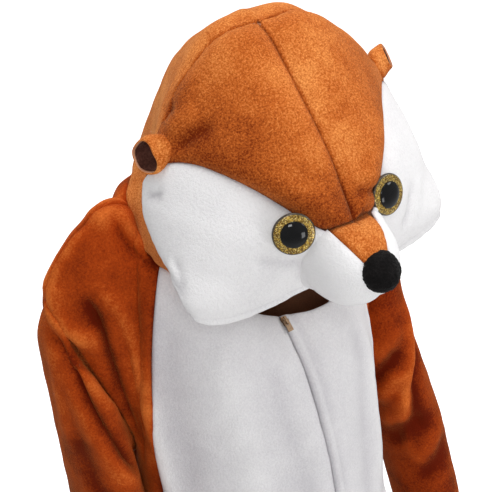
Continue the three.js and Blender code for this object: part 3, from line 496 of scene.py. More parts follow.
leftCreases = [
    # the long roll down the front of the sleeve
    crease(4.5, 7, [(152, -36, -104), (151, -43, -128), (151, -48, -150), (149, -51, -172),
                    (143, -51, -200), (142, -49, -228), (144, -47, -256), (150, -46, -284)],
           (0.9, -0.3, 0)),
    crease(-4.5, 6, [(163, -30, -132), (162, -38, -156), (157, -46, -180), (151, -51, -204),
                     (151, -52, -230), (156, -53, -256)]),
    # folds that run up and inwards to the gap
    crease(-5, 7, [(118, -32, -196), (123, -38, -186), (131, -46, -169), (139, -49, -156)]),
    crease(3, 8, [(118, -36, -164), (124, -41, -154), (131, -46, -144), (140, -48, -134)]),
    crease(3.5, 8, [(122, -30, -222), (128, -36, -210), (132, -45, -192), (140, -50, -180)]),
    crease(-5, 8, [(134, -26, -276), (141, -37, -264), (145, -47, -248), (154, -54, -246),
                   (164, -56, -252)]),
    crease(3.5, 8, [(130, -28, -252), (136, -36, -240), (139, -46, -222), (142, -50, -206)]),
    crease(-4, 8, [(150, -52, -312), (161, -60, -300), (172, -61, -286), (184, -54, -270)]),
    crease(3, 9, [(146, -50, -290), (156, -58, -278), (168, -60, -262), (180, -50, -244)]),
    # the gap beside the arm, and the front's roll beside it
    crease(-7, 6, [(131, -14, 16), (126, -22, 4), (122, -29, -20), (119, -32, -59), (115, -33, -96),
                   (109, -27, -148)]),
    crease(3.5, 9, [(120, -20, 18), (114, -30, -4), (110, -39, -40), (107, -43, -96), (103, -47, -150),
                    (100, -52, -215)]),
    crease(4, 9, [(98, -2, 60), (118, 1, 50), (137, 5, 34), (149, 4, 8), (146, -8, -10),
                  (136, -20, -24)]),
    crease(-5, 7, [(154, -2, -14), (151, -14, -26), (142, -24, -38), (130, -31, -52)]),
    crease(3, 10, [(163, -10, -60), (164, -18, -90), (160, -28, -118)]),
]
trunkCreases = [
    # soft upright drapes in the belly and chest
    crease(-1.6, 10, [(69, -77, -62), (58, -93, -100), (47, -105, -150), (39, -112, -210),
                      (34, -116, -280)]),
    crease(1.6, 12, [(80, -70, -70), (72, -85, -120), (66, -94, -180), (60, -100, -250)]),
    crease(-1.8, 12, [(-82, -52, 8), (-92, -56, -35), (-92, -60, -90), (-88, -66, -160),
                      (-80, -76, -250)]),
    crease(1.5, 12, [(-60, -70, -22), (-62, -86, -70), (-58, -98, -130), (-54, -106, -210),
                     (-50, -110, -300)]),
    crease(-1.4, 9, [(-26, -84, -46), (-30, -104, -90), (-26, -116, -150), (-20, -121, -230)]),
    # drag lines at the waist, crotch and knees
    crease(-4, 9, [(104, -62, -300), (82, -90, -330), (52, -112, -350)]),
    crease(3, 10, [(106, -58, -272), (86, -84, -300), (58, -106, -322)]),
    crease(-4, 9, [(-104, -60, -330), (-80, -88, -352), (-50, -108, -366)]),
    crease(3, 10, [(-106, -58, -304), (-84, -84, -326), (-58, -104, -342)]),
    crease(-5, 10, [(30, -98, -548), (66, -92, -520), (104, -66, -498)]),
    crease(4, 10, [(34, -94, -572), (70, -90, -546), (112, -60, -520)]),
    crease(-5, 10, [(-28, -98, -552), (-62, -94, -530), (-100, -70, -512)]),
    crease(4, 10, [(-32, -94, -578), (-66, -90, -556), (-108, -64, -534)]),
    crease(-4, 10, [(14, -12, -680), (34, -62, -700), (76, -74, -724), (118, -54, -712)]),
    crease(3.5, 10, [(14, -20, -706), (38, -64, -728), (80, -72, -750), (124, -46, -738)]),
    crease(-4, 10, [(-16, -20, -700), (-42, -64, -716), (-84, -72, -736), (-128, -40, -728)]),
    crease(3.5, 10, [(-18, -24, -728), (-48, -62, -744), (-90, -68, -762), (-130, -34, -752)]),
    crease(-4, 9, [(20, -30, -898), (50, -54, -914), (92, -56, -924), (128, -34, -912)]),
    crease(3.5, 9, [(22, -34, -872), (54, -58, -888), (96, -58, -896), (130, -34, -886)]),
    crease(-4, 9, [(-22, -34, -906), (-56, -56, -920), (-98, -52, -928), (-130, -26, -914)]),
    crease(3.5, 9, [(-24, -38, -880), (-60, -58, -894), (-102, -54, -900), (-132, -26, -888)]),
    # the back: a slack fold under the hood, drags at the waist and behind the knees
    crease(-4, 12, [(-70, 40, 30), (-30, 56, 18), (12, 58, 14), (60, 46, 26)]),
    crease(3, 13, [(-84, 40, 4), (-40, 58, -12), (14, 62, -18), (76, 46, -2)]),
    crease(-3.5, 12, [(-96, 42, -90), (-60, 58, -130), (-30, 62, -190), (-24, 62, -260)]),
    crease(-3.5, 12, [(98, 40, -100), (66, 56, -140), (36, 62, -200), (28, 62, -280)]),
    crease(-5, 11, [(-112, 20, -330), (-70, 56, -360), (-20, 70, -372), (30, 68, -366), (84, 48, -344)]),
    crease(4, 12, [(-112, 22, -300), (-66, 54, -330), (-16, 66, -340), (36, 64, -334), (90, 42, -312)]),
    crease(-5, 12, [(-12, 84, -520), (-46, 84, -548), (-92, 60, -560)]),
    crease(-5, 12, [(12, 84, -524), (50, 84, -556), (98, 56, -566)]),
    crease(-5, 10, [(18, 30, -726), (52, 64, -738), (94, 66, -748), (130, 38, -734)]),
    crease(4, 11, [(18, 34, -754), (54, 66, -766), (98, 62, -776), (132, 34, -762)]),
    crease(-5, 10, [(-18, 34, -716), (-54, 66, -730), (-96, 64, -742), (-132, 34, -730)]),
    crease(4, 11, [(-18, 34, -742), (-54, 66, -758), (-98, 62, -770), (-132, 30, -756)]),
    crease(-4, 9, [(24, 34, -910), (60, 56, -922), (104, 50, -930), (130, 26, -922)]),
    crease(-4, 9, [(-24, 34, -900), (-60, 56, -914), (-104, 50, -924), (-130, 26, -914)]),
]
hoodCreases = [
    # pinch from the ear up the forehead, puckers at the end of the crown seam
    crease(-3.2, 5, [(-84, -88, 142), (-78, -94, 149), (-71, -101, 156), (-62, -107, 160)]),
    crease(2, 7, [(-82, -80, 152), (-74, -86, 160), (-66, -94, 166)]),
    crease(-3, 5, [(-80, -68, 158), (-77, -72, 163), (-73, -78, 167)]),
    crease(-3, 5, [(86, -84, 146), (80, -92, 152), (72, -100, 158)]),
    # the pleat beside the bridge and the brow's fold
    crease(-3, 4, [(-6, -168, 108), (2, -171, 108), (12, -171, 105), (22, -168, 101)]),
    crease(1.8, 5, [(-4, -166, 116), (6, -168, 116), (18, -165, 111)]),
    crease(-2, 4, [(-12, -172, 97), (-4, -175, 98), (4, -177, 96)]),
    # a short pleat over the crown, and long soft ones down the back
    crease(-2, 3.5, [(-13, -58, 206), (-10, -66, 206), (-8, -75, 205)]),
    crease(2.5, 9, [(8, -62, 207), (-14, -60, 207), (-36, -57, 201), (-58, -57, 185), (-76, -60, 164)]),
    crease(2.5, 9, [(10, -62, 207), (34, -60, 202), (58, -60, 186), (78, -64, 160)]),
    crease(-3, 11, [(-60, 6, 150), (-66, 22, 120), (-60, 34, 92), (-46, 42, 74)]),
    crease(-3, 11, [(58, 4, 150), (66, 18, 122), (62, 30, 96), (50, 38, 76)]),
    crease(2.5, 12, [(-20, 12, 186), (-22, 40, 150), (-18, 52, 110), (-14, 50, 78)]),
    # the cheeks: a small dent near the ear, slack by the muzzle, the soft crease on the far side
    crease(-3.4, 3.6, [(-103, -76, 113), (-100, -82, 113), (-97, -90, 116)]),
    crease(-1.6, 6, [(-50, -154, 76), (-44, -157, 68), (-41, -158, 58), (-42, -155, 48)]),
    crease(-2.0, 5, [(-71, -146, 78), (-64, -149, 74), (-58, -153, 72), (-49, -155, 69),
                     (-43, -158, 71)]),
    crease(-3.0, 3.6, [(-107, -94, 72), (-110, -103, 67), (-111, -110, 65), (-112, -116, 59),
                       (-112, -122, 55)]),
    crease(-2.4, 3.4, [(-105, -106, 78), (-108, -112, 70), (-109, -116, 65), (-111, -122, 58)]),
    crease(1.6, 3.4, [(-106, -100, 75), (-109, -108, 68), (-110, -114, 63)]),
    crease(-2.4, 5, [(64, -156, 86), (58, -159, 74), (51, -160, 62), (42, -161, 58)]),
    crease(1.6, 7, [(74, -150, 84), (68, -153, 70), (60, -155, 56)]),
    # the pucker at the corner of the mouth
    crease(-2, 3.5, [(-37, -160, 56), (-33, -159, 48), (-28, -157, 42)]),
    crease(-1.5, 4, [(37, -166, 56), (33, -166, 48), (29, -164, 42)]),
    # where neck and hood meet beside the cheek
    crease(-3.6, 4, [(-90, -2, 63), (-92, -13, 55), (-91, -19, 46), (-89, -24, 39), (-86, -30, 34),
                     (-83, -36, 28), (-80, -42, 20)]),
    crease(2.6, 4.5, [(-83, -6, 61), (-85, -14, 54), (-84, -19, 45), (-82, -25, 38), (-80, -32, 32)]),
    crease(-3.6, 4, [(90, -2, 63), (92, -13, 53), (91, -20, 43), (88, -26, 35), (84, -34, 26)]),
]


allCreases = rightCreases + leftCreases + trunkCreases + hoodCreases


def creaseHeight(points, folds):
    # for every crease: its height times a bell curve of the distance from its path, faded at its ends
    flat = points.reshape(-1, 3)
    height = np.zeros(len(flat))
    for fold in folds:
        steps = np.arange(len(fold["path"]))
        table = {"k": steps, "x": fold["path"][:, 0], "y": fold["path"][:, 1], "z": fold["path"][:, 2]}
        path = rowOf(table, "k", np.linspace(0, steps[-1], creases["steps"] * steps[-1] + 1), "xyz")
        margin = creases["margin"] * fold["wide"]
        near = np.all((flat > path.min(0) - margin) & (flat < path.max(0) + margin), axis=1)
        if not near.any():
            continue
        way = path[1:] - path[:-1]
        away = flat[near][:, None] - path[:-1]
        share = np.clip((away * way).sum(-1) / (way * way).sum(-1), 0, 1)
        away = away - share[..., None] * way
        closest = (away ** 2).sum(-1).argmin(1)
        rows = np.arange(len(closest))
        along = (closest + share[rows, closest]) / len(way)
        away = away[rows, closest]
        wide = fold["wide"]
        if fold["lip"] is not None:
            beyond = away @ np.array(fold["lip"])
            wide = wide * (1 - creases["lipNarrow"] * smooth(0.5 + creases["lipRate"] * beyond))
        fade = smooth(np.minimum(along, 1 - along) / creases["fade"] + creases["kept"])
        height[near] += fold["high"] * np.exp(-(away ** 2).sum(-1) / wide ** 2) * fade
    return height.reshape(points.shape[:-1])


# panels: every piece of cloth is a grid of points on the middle of its wall
panels = {}


def addPanel(name, node, finish, grid, edges, flat, inside=(0, -20, None), tube=False, nap=0.0):
    # inside is a point that the cloth goes round, or an upright line where its height is None
    # flat is the size the panel was cut to, in metres, and nap the painted light (above 0) and painted
    # shade (below 0) of the whole piece, put down to how its pile leans
    panels[name] = {"node": node, "finish": finish, "grid": grid, "edges": edges, "flat": flat,
                    "inside": inside, "tube": tube, "wall": cloth["wall"], "nap": nap}


def mirrorX(points):
    # the same shape on the wearer's right: x changes its sign
    return points * np.array([-1.0, 1.0, 1.0])


faceRows = spread(0, hood["crownRows"])
cheekRowList = hood["crownRows"] + spread(0, hood["cheekRows"])
whiteColumns = spread(0, body["whiteColumns"])
frontCells = body["neckColumns"] + body["shoulderColumns"]
rustColumns = spread(body["whiteColumns"], frontCells)
backColumns = spread(0, body["backNeckColumns"] + body["shoulderColumns"])
armholeRows = spread(0, body["armholeRows"])
around = np.unique(np.concatenate([armholeRows, 2 * body["armholeRows"] - armholeRows]))
# rows down the body: the yoke less the two lines of an edge that it doesn't have at the underarm, then
# even steps, closer ones where the belly's end rounds in, and the hem
underarm, curve, end = -bodyLevels["z"][0], -body["bellyCurve"], -body["bellyEnd"]
upper = np.arange(underarm + cloth["rowStep"], curve, cloth["rowStep"])
bend = curve + (end - curve) * np.sin(np.linspace(0, np.pi / 2, body["endRows"]))
lower = np.arange(end + cloth["rowStep"], body["evenTo"], cloth["rowStep"])
whiteRows = np.concatenate([armholeRows[:-2], [body["armholeRows"]], upper, bend])
rustRows = np.concatenate([whiteRows, lower, body["hemRows"]])
# painted light and shade for each piece, put down to how the pile leans: the muzzle and the hood's back
# are painted paler, the body and belly darker; on a sleeve it is painted darker down to row 6, on the
# forehead darker over the brow
lean = {"body": -0.22, "belly": -0.4, "muzzle": 0.4, "hoodBack": 0.2,
        "sleeve": -0.25 - 0.35 * smooth(spread(0, sleeve["rows"]) / 6)[:, None],
        "foreheadLeft": (0.32 - 0.5 * smooth((faceRows - 2) / 4.5))[:, None],
        "foreheadRight": (0.08 - 0.62 * smooth((faceRows - 2) / 4.5))[:, None]}

for side, sign, place in [("Left", 1, lambda p: p), ("Right", -1, mirrorX)]:
    word = side.lower()
    addPanel("front" + side + "Plush", "front_" + word, "rust",
             place(bodyGrid(True, sign, rustRows, rustColumns)),
             {"top": "seam", "bottom": "hem", "start": "flush", "end": "seam"}, (0.19, 1.01),
             nap=lean["body"])
    addPanel("belly" + side + "Plush", "belly_" + word, "white",
             place(bodyGrid(True, sign, whiteRows, whiteColumns)),
             {"top": "plain", "start": "zip", "end": "flush"}, (0.15, 0.46), nap=lean["belly"])
    addPanel("back" + side + "Plush", "back_" + word, "rust",
             place(bodyGrid(False, sign, rustRows, backColumns)),
             {"top": "seam", "bottom": "hem", "start": "seam", "end": "seam"}, (0.23, 1.03),
             nap=lean["body"])
    addPanel("sleeve" + side + "Plush", "sleeve_" + word, "rust",
             place(sleeveGrid(word, spread(0, sleeve["rows"]), around)), {"top": "seam", "bottom": "hem"},
             (0.27, 0.46), inside=(165 if sign > 0 else -145, -10, None), tube=True, nap=lean["sleeve"])
    across = spread(0, hood["faceColumns"])
    addPanel("forehead" + side + "Plush", "forehead_" + word, "litRust",
             turned(place(faceGrid(faceRows, across))),
             {"start": "pleat", "end": "deep", "bottom": "flush"}, (0.11, 0.15), inside=hood["inside"],
             nap=lean["forehead" + side])
    addPanel("cheek" + side + "Plush", "cheek_" + word, "white",
             turned(place(faceGrid(cheekRowList, across))),
             {"top": "flush", "start": "soft", "end": "seam", "bottom": "faceHem"}, (0.115, 0.11),
             inside=hood["inside"])
    reach = muzzleReach(spread(0, muzzle["rows"]))[:, None]
    cheekEnd = hood["cheekRows"]
    ringShares = np.unique(np.concatenate([spread(0, cheekEnd), cheekEnd + spread(0, 1)]))
    share = np.where(ringShares <= cheekEnd, rootShare(ringShares), muzzle["chinShare"]
                     + (1 - muzzle["chinShare"]) * (ringShares - cheekEnd))
    addPanel("muzzle" + side + "Plush", "muzzle_" + word, "white",
             turned(place(muzzlePoint(share[None, :] + 0 * reach, reach + 0 * share))),
             {"top": "soft", "start": "flush", "end": "flush"}, (0.06, 0.065),
             inside=muzzle["inside"], nap=lean["muzzle"])

half = spread(0, hood["crownRows"] + hood["cheekRows"])[3:]
backAcross = np.concatenate([-half[::-1], [0.0], half])
addPanel("hoodBackPlush", "hood_back", "litRust",
         hoodBackGrid(spread(0, hood["backRows"]), backAcross),
         {"top": "deep", "bottom": "seam", "start": "tuck", "end": "tuck"}, (0.56, 0.26),
         inside=hood["inside"], nap=lean["hoodBack"])
over = np.unique(np.concatenate([-spread(0, 1), spread(0, 1)]))
addPanel("bridgePlush", "bridge", "litRust",
         turned(muzzlePoint(np.abs(over)[None, :] * muzzle["bridgeShare"] + 0 * reach, reach + 0 * over)
                * np.where(over < 0, -1, 1)[:, None] ** np.array([1, 0, 0])),
         {"top": "pleat", "start": "flush", "end": "flush"}, (0.034, 0.05),
         inside=muzzle["inside"], nap=lean["muzzle"])
print("cloth cut into", len(panels), "panels")
# points in one little box of this size are one point; its three numbers are made one by start and step
sameSpot = {"size": 0.06, "shift": 0.137, "start": [8000, 8000, 20000], "step": [1, 20000, 400000000]}


def shareNormals(pieces):
    # turns each grid's normals away from its inside, then adds them up where grids share a point:
    # the three numbers of a point's little box are joined into one code, and equal codes are one spot
    sums = []
    for piece in pieces:
        g = piece["grid"]
        n = np.cross(g[1:, 1:] - g[:-1, :-1], g[1:, :-1] - g[:-1, 1:])
        centre = (g[:-1, :-1] + g[1:, 1:]) / 2
        core = np.array([piece["inside"][0], piece["inside"][1], piece["inside"][2] or 0.0])
        away = centre - core
        if piece["inside"][2] is None:
            away[..., 2] = 0
        piece["flip"] = 1 if (n * away).sum() > 0 else -1
        n = unit(n) * piece["flip"] * (np.linalg.norm(n, axis=-1, keepdims=True) > 1e-6)
        total = np.zeros_like(g)
        total[:-1, :-1] += n
        total[1:, :-1] += n
        total[:-1, 1:] += n
        total[1:, 1:] += n
        sums.append(total.reshape(-1, 3))
    places = np.concatenate([piece["grid"].reshape(-1, 3) for piece in pieces])
    keys = np.round(places / sameSpot["size"] + sameSpot["shift"]).astype(np.int64)
    code = (keys + np.array(sameSpot["start"])) @ np.array(sameSpot["step"])
    same = np.unique(code, return_inverse=True)[1].reshape(-1)
    sums = np.concatenate(sums)
    total = np.stack([np.bincount(same, weights=sums[:, k]) for k in range(3)], -1)
    shared = unit(total)[same]
    at = 0
    for piece in pieces:
        count = piece["grid"].shape[0] * piece["grid"].shape[1]
        piece["normals"] = shared[at:at + count].reshape(piece["grid"].shape)
        at += count


def fromEdges(grid, tube):
    # the distance of every point from each edge of its piece, measured along the grid's lines
    # a tube has no edge at its start or end, so those are put far away
    down = np.linalg.norm(np.diff(grid, axis=0), axis=-1)
    across = np.linalg.norm(np.diff(grid, axis=1), axis=-1)
    top = np.concatenate([np.zeros((1, grid.shape[1])), np.cumsum(down, axis=0)])
    start = np.concatenate([np.zeros((grid.shape[0], 1)), np.cumsum(across, axis=1)], axis=1)
    far = np.full(grid.shape[:2], 1e3)
    return {"top": top, "bottom": top[-1] - top, "start": far if tube else start,
            "end": far if tube else start[:, -1:] - start}


shareNormals(list(panels.values()))
for piece in panels.values():
    grid = piece["grid"]
    piece["area"] = areaOf(grid)
    fold = creaseHeight(grid, allCreases)
    height = fold + cloth["swell"] * wander(grid, cloth["swellSize"], 3)
    height += cloth["ripple"] * wander(grid, cloth["rippleSize"], 8)
    pucker = wander(grid, cloth["puckerSize"], 5)
    nearest = np.full(grid.shape[:2], 1e3)
    shade = np.zeros(grid.shape[:2])
    for edge, away in fromEdges(grid, piece["tube"]).items():
        if edge not in piece["edges"]:
            continue
        kind = edgeKinds[piece["edges"][edge]]
        nearest = np.minimum(nearest, away)
        height -= kind["sink"] * np.exp(-(away / kind["reach"]) ** 2)
        # painted shade in the groove along each edge, and along the stitch line of a hem
        dark = kind.get("shade", cloth["shade"])
        shade = np.maximum(shade, dark * np.exp(-(away / cloth["shadeReach"]) ** 2))
        height += (kind["pucker"] * pucker * np.exp(-away / cloth["puckerFade"])
                   * np.minimum(away / cloth["puckerFrom"], 1))
        if "stitch" in kind:
            line = np.exp(-((away - kind["stitch"]) / cloth["stitchWide"]) ** 2)
            height -= cloth["stitchDeep"] * line
            shade = np.maximum(shade, cloth["stitchShade"] * line)
    piece["nearest"] = nearest
    piece["shade"] = shade
    # the fold's height becomes painted highlight on its ridge and painted shade in its trough
    piece["tone"] = np.clip(fold / cloth["toneAt"], -1, 1)
    piece["grid"] = grid + piece["normals"] * height[..., None]
# low on its face side the hood's back tucks in behind the cheeks
tuckIn = {"deep": 3.0, "station": 8.5, "over": 1.5, "share": 0.35, "fade": 0.3}
piece = panels["hoodBackPlush"]
low = smooth((np.abs(backAcross) - tuckIn["station"]) / tuckIn["over"])
high = 1 - smooth((spread(0, hood["backRows"]) / hood["backRows"] - tuckIn["share"]) / tuckIn["fade"])
piece["grid"] = piece["grid"] - piece["normals"] * (tuckIn["deep"] * high[:, None] * low)[..., None]
shareNormals(list(panels.values()))
print("folds and seams pressed in")


# the placket: the wearer's left edge of the belly rolls over the zip, a soft band beside the groove,
# which is painted with shade
placket = {"at": 4.6, "wide": 3.2, "high": 2.6, "grooveAt": 11.0, "groove": 1.7, "grooveWide": 2.4,
           "grooveShade": 0.3}
piece = panels["bellyLeftPlush"]
away = fromEdges(piece["grid"], False)["start"]
lift = placket["high"] * np.exp(-((away - placket["at"]) / placket["wide"]) ** 2)
groove = np.exp(-((away - placket["grooveAt"]) / placket["grooveWide"]) ** 2)
lift -= placket["groove"] * groove
piece["shade"] = np.maximum(piece["shade"], placket["grooveShade"] * groove)
piece["grid"] = piece["grid"] + piece["normals"] * lift[..., None]


# finishes
def feed(tree, sockets, values):
    # each named or numbered socket is linked where its value is another socket, else set to it
    for key, value in values.items():
        if isinstance(value, bpy.types.NodeSocket):
            tree.links.new(value, sockets[key])
        else:
            sockets[key].default_value = value


def addNode(tree, kind, inputs=None, **settings):
    # a node of one kind, with its settings made and its inputs fed
    node = tree.nodes.new("ShaderNode" + kind)
    for name, value in settings.items():
        setattr(node, name, value)
    feed(tree, node.inputs, inputs or {})
    return node


def maths(tree, operation, a, b=0.0, clamp=False):
    # one sum on two values, kept between 0 and 1 where clamp is true
    return addNode(tree, "Math", {0: a, 1: b}, operation=operation, use_clamp=clamp).outputs[0]


def mixColour(tree, share, a, b):
    # a where share is 0, b where it is 1, and a blend of the two between
    return addNode(tree, "Mix", {0: share, 6: a, 7: b}, data_type="RGBA").outputs[2]


def scaled(tree, value, gain, start):
    # a value times a gain, on top of a start
    return maths(tree, "ADD", maths(tree, "MULTIPLY", value, gain), start)


def above(tree, value, floor, gain):
    # how far a value stands above a floor, times a gain, between 0 and 1
    return maths(tree, "MULTIPLY", maths(tree, "SUBTRACT", value, floor), gain, clamp=True)


def ownPlace(tree):
    # where a point lies in its own piece
    return addNode(tree, "TexCoord").outputs["Object"]


def pattern(tree, kind, where, scale, output="Fac", settings=None, **more):
    # a noise, wave or cell pattern over a place, at a scale and with more of its sockets set
    inputs = dict({"Vector": where, "Scale": scale}, **more)
    return addNode(tree, "Tex" + kind, inputs, **(settings or {})).outputs[output]


def newMaterial(name):
    # a material with its node tree and its shader's sockets
    material = bpy.data.materials.new(name)
    material.use_nodes = True
    tree = material.node_tree
    return material, tree, tree.nodes["Principled BSDF"].inputs


def newGroup(name, inputs, outputs):
    # an empty node group with named sockets, and the two ends to connect inside it
    tree = bpy.data.node_groups.new(name, "ShaderNodeTree")
    for label, kind, value in inputs:
        socket = tree.interface.new_socket(name=label, in_out="INPUT", socket_type="NodeSocket" + kind)
        socket.default_value = value
    for label, kind in outputs:
        tree.interface.new_socket(name=label, in_out="OUTPUT", socket_type="NodeSocket" + kind)
    return tree, tree.nodes.new("NodeGroupInput").outputs, tree.nodes.new("NodeGroupOutput").inputs


# the nap that every plush has in common
brushed = {
    "fibres": 3.1,                 # single fibres are so many times finer than the tufts
    "tuftShare": 0.65, "fibreShare": 0.35,
    "patchScale": 26.0, "patchWarp": 0.3,
    "pileRange": (0.34, 0.66), "patchRange": (0.32, 0.68),   # noise that becomes -1 to 1
    "rough": 0.8, "roughMore": 0.15, "bump": 0.9, "gloss": 0.06,
}


def makeNapAndLightGroup():
    # brushed pile: tufts and single fibres as two noises, slow patches where the pile leans another
    # way; tips are paler and roots deeper. Painted light and shade push the tone either way as well:
    # painted highlight on fold ridges, painted shade in troughs and seams, and the lean's painted light
    # and shade
    tree, given, out = newGroup("brushedNapAndPaintedLight", [
        ("Colour", "Color", (0.5, 0.2, 0.1, 1)), ("Tips_and_lit", "Color", (0.7, 0.4, 0.2, 1)),
        ("Roots_and_shade", "Color", (0.2, 0.05, 0.02, 1)), ("Tufts", "Float", 420.0), ("Speckle", "Float", 0.5),
        ("Patches", "Float", 0.4), ("Fold Shade And Mottle", "Float", 0.0), ("Seam", "Float", 0.0),
        ("Lean Light Shade", "Float", 0.0), ("Depth", "Float", 0.001)],
        [("Colour", "Color"), ("Roughness", "Float"), ("Normal", "Vector")])
    where = ownPlace(tree)
    fine = maths(tree, "MULTIPLY", given["Tufts"], brushed["fibres"])
    tuft = pattern(tree, "Noise", where, given["Tufts"], Detail=3.0, Roughness=0.6)
    fibre = pattern(tree, "Noise", where, fine, Detail=2.0)
    patch = pattern(tree, "Noise", where, brushed["patchScale"], Detail=4.0, Roughness=0.6,
                    Distortion=brushed["patchWarp"])
    pile = maths(tree, "ADD", maths(tree, "MULTIPLY", tuft, brushed["tuftShare"]),
                 maths(tree, "MULTIPLY", fibre, brushed["fibreShare"]))
    tone = maths(tree, "ADD", given["Fold Shade And Mottle"], given["Lean Light Shade"])
    for value, ends, share in [(pile, brushed["pileRange"], "Speckle"),
                               (patch, brushed["patchRange"], "Patches")]:
        even = addNode(tree, "MapRange", {"Value": value, "From Min": ends[0], "From Max": ends[1],
                                          "To Min": -1.0, "To Max": 1.0}).outputs["Result"]
        tone = maths(tree, "ADD", tone, maths(tree, "MULTIPLY", even, given[share]))
    tone = maths(tree, "SUBTRACT", tone, given["Seam"])
    up = maths(tree, "MAXIMUM", tone, 0.0, clamp=True)
    down = maths(tree, "MULTIPLY", tone, -1.0, clamp=True)
    colour = mixColour(tree, down, mixColour(tree, up, given["Colour"], given["Tips_and_lit"]), given["Roots_and_shade"])
    rough = scaled(tree, pile, brushed["roughMore"], brushed["rough"])
    bump = addNode(tree, "Bump", {"Height": pile, "Distance": given["Depth"],
                                  "Strength": brushed["bump"]})
    feed(tree, out, {"Colour": colour, "Roughness": rough, "Normal": bump.outputs["Normal"]})
    return tree


napAndLightGroup = makeNapAndLightGroup()
# each plush: the colour of its pile, of the tips and of the roots, how strong speckle and patches are,
# how fine its tufts are and how deep, and the sheen on it; the two backs are the knit behind the pile;
# the tips colour is also the painted highlight of folds and lean, the roots colour their painted shade
finishes = {
    "rust": {"slot": "rust_plush", "colour": (0.40, 0.054, 0.005, 1), "tips_and_lit": (0.74, 0.19, 0.034, 1),
             "roots_and_shade": (0.12, 0.009, 0.001, 1), "speckle": 0.36, "patches": 0.38, "tufts": 620.0,
             "depth": 0.0012, "sheen": 0.3, "sheenRough": 0.35, "tint": (1.0, 0.34, 0.08, 1)},
    # the hood's and ears' plush: the same rust plush, painted paler and more orange as if lit
    "litRust": {"slot": "rust_plush", "colour": (0.52, 0.118, 0.017, 1), "tips_and_lit": (0.86, 0.34, 0.09, 1),
               "roots_and_shade": (0.16, 0.018, 0.0015, 1), "speckle": 0.7, "patches": 0.34, "tufts": 820.0,
               "depth": 0.0013, "sheen": 0.3, "sheenRough": 0.4, "tint": (1.0, 0.55, 0.24, 1)},
    "white": {"slot": "white_plush", "colour": (0.83, 0.818, 0.825, 1), "tips_and_lit": (0.92, 0.915, 0.92, 1),
              "roots_and_shade": (0.54, 0.52, 0.55, 1), "speckle": 0.2, "patches": 0.12, "tufts": 620.0,
              "depth": 0.0012, "sheen": 0.25, "sheenRough": 0.5, "tint": (1.0, 0.99, 0.98, 1)},
    "ear": {"slot": "ear_inside", "colour": (0.050, 0.016, 0.011, 1), "tips_and_lit": (0.11, 0.042, 0.03, 1),
            "roots_and_shade": (0.010, 0.003, 0.002, 1), "speckle": 0.5, "patches": 0.3, "tufts": 620.0,
            "depth": 0.0012, "sheen": 0.2, "sheenRough": 0.4, "tint": (0.8, 0.5, 0.4, 1)},
    "nose": {"slot": "nose_plush", "colour": (0.007, 0.006, 0.006, 1), "tips_and_lit": (0.022, 0.020, 0.020, 1),
             "roots_and_shade": (0.002, 0.002, 0.002, 1), "speckle": 0.5, "patches": 0.2, "tufts": 700.0,
             "depth": 0.0010, "sheen": 0.06, "sheenRough": 0.4, "tint": (0.8, 0.8, 0.8, 1)},
    "rustBack": {"slot": "rust_plush", "colour": (0.50, 0.22, 0.12, 1), "tips_and_lit": (0.60, 0.30, 0.18, 1),
                 "roots_and_shade": (0.24, 0.09, 0.045, 1), "speckle": 0.25, "patches": 0.3, "tufts": 900.0,
                 "depth": 0.0005, "sheen": 0.1, "sheenRough": 0.5, "tint": (1.0, 0.7, 0.5, 1)},
    "whiteBack": {"slot": "white_plush", "colour": (0.66, 0.66, 0.68, 1), "tips_and_lit": (0.76, 0.76, 0.77, 1),
                  "roots_and_shade": (0.45, 0.45, 0.48, 1), "speckle": 0.25, "patches": 0.2, "tufts": 900.0,
                  "depth": 0.0005, "sheen": 0.1, "sheenRough": 0.5, "tint": (1.0, 1.0, 1.0, 1)},
}


def makePlush(name):
    # one plush: the nap group with this finish's colours, fed by the painted highlight and shade of its
    # folds, the painted shade of its seams and the painted light and shade of its lean
    finish = finishes[name]
    material, tree, shader = newMaterial(name + "Cloth")
    pile = tree.nodes.new("ShaderNodeGroup")
    pile.node_tree = napAndLightGroup
    feed(tree, pile.inputs, {key.capitalize(): finish[key] for key in
                             ["colour", "tips_and_lit", "roots_and_shade", "tufts", "speckle", "patches", "depth"]})
    for socket, attribute in [("Fold Shade And Mottle", "foldShadeAndMottle"), ("Seam", "seamShade"), ("Lean Light Shade", "leanLightShade")]:
        read = addNode(tree, "Attribute", attribute_name=attribute)
        tree.links.new(read.outputs["Fac"], pile.inputs[socket])
    feed(tree, shader, {
        "Base Color": pile.outputs["Colour"], "Roughness": pile.outputs["Roughness"],
        "Normal": pile.outputs["Normal"], "Specular IOR Level": brushed["gloss"],
        "Sheen Weight": finish["sheen"], "Sheen Roughness": finish["sheenRough"],
        "Sheen Tint": finish["tint"]})
    return material


plush = {name: makePlush(name) for name in finishes}


laying = {"millimetre": 0.001, "merge": 0.00002}


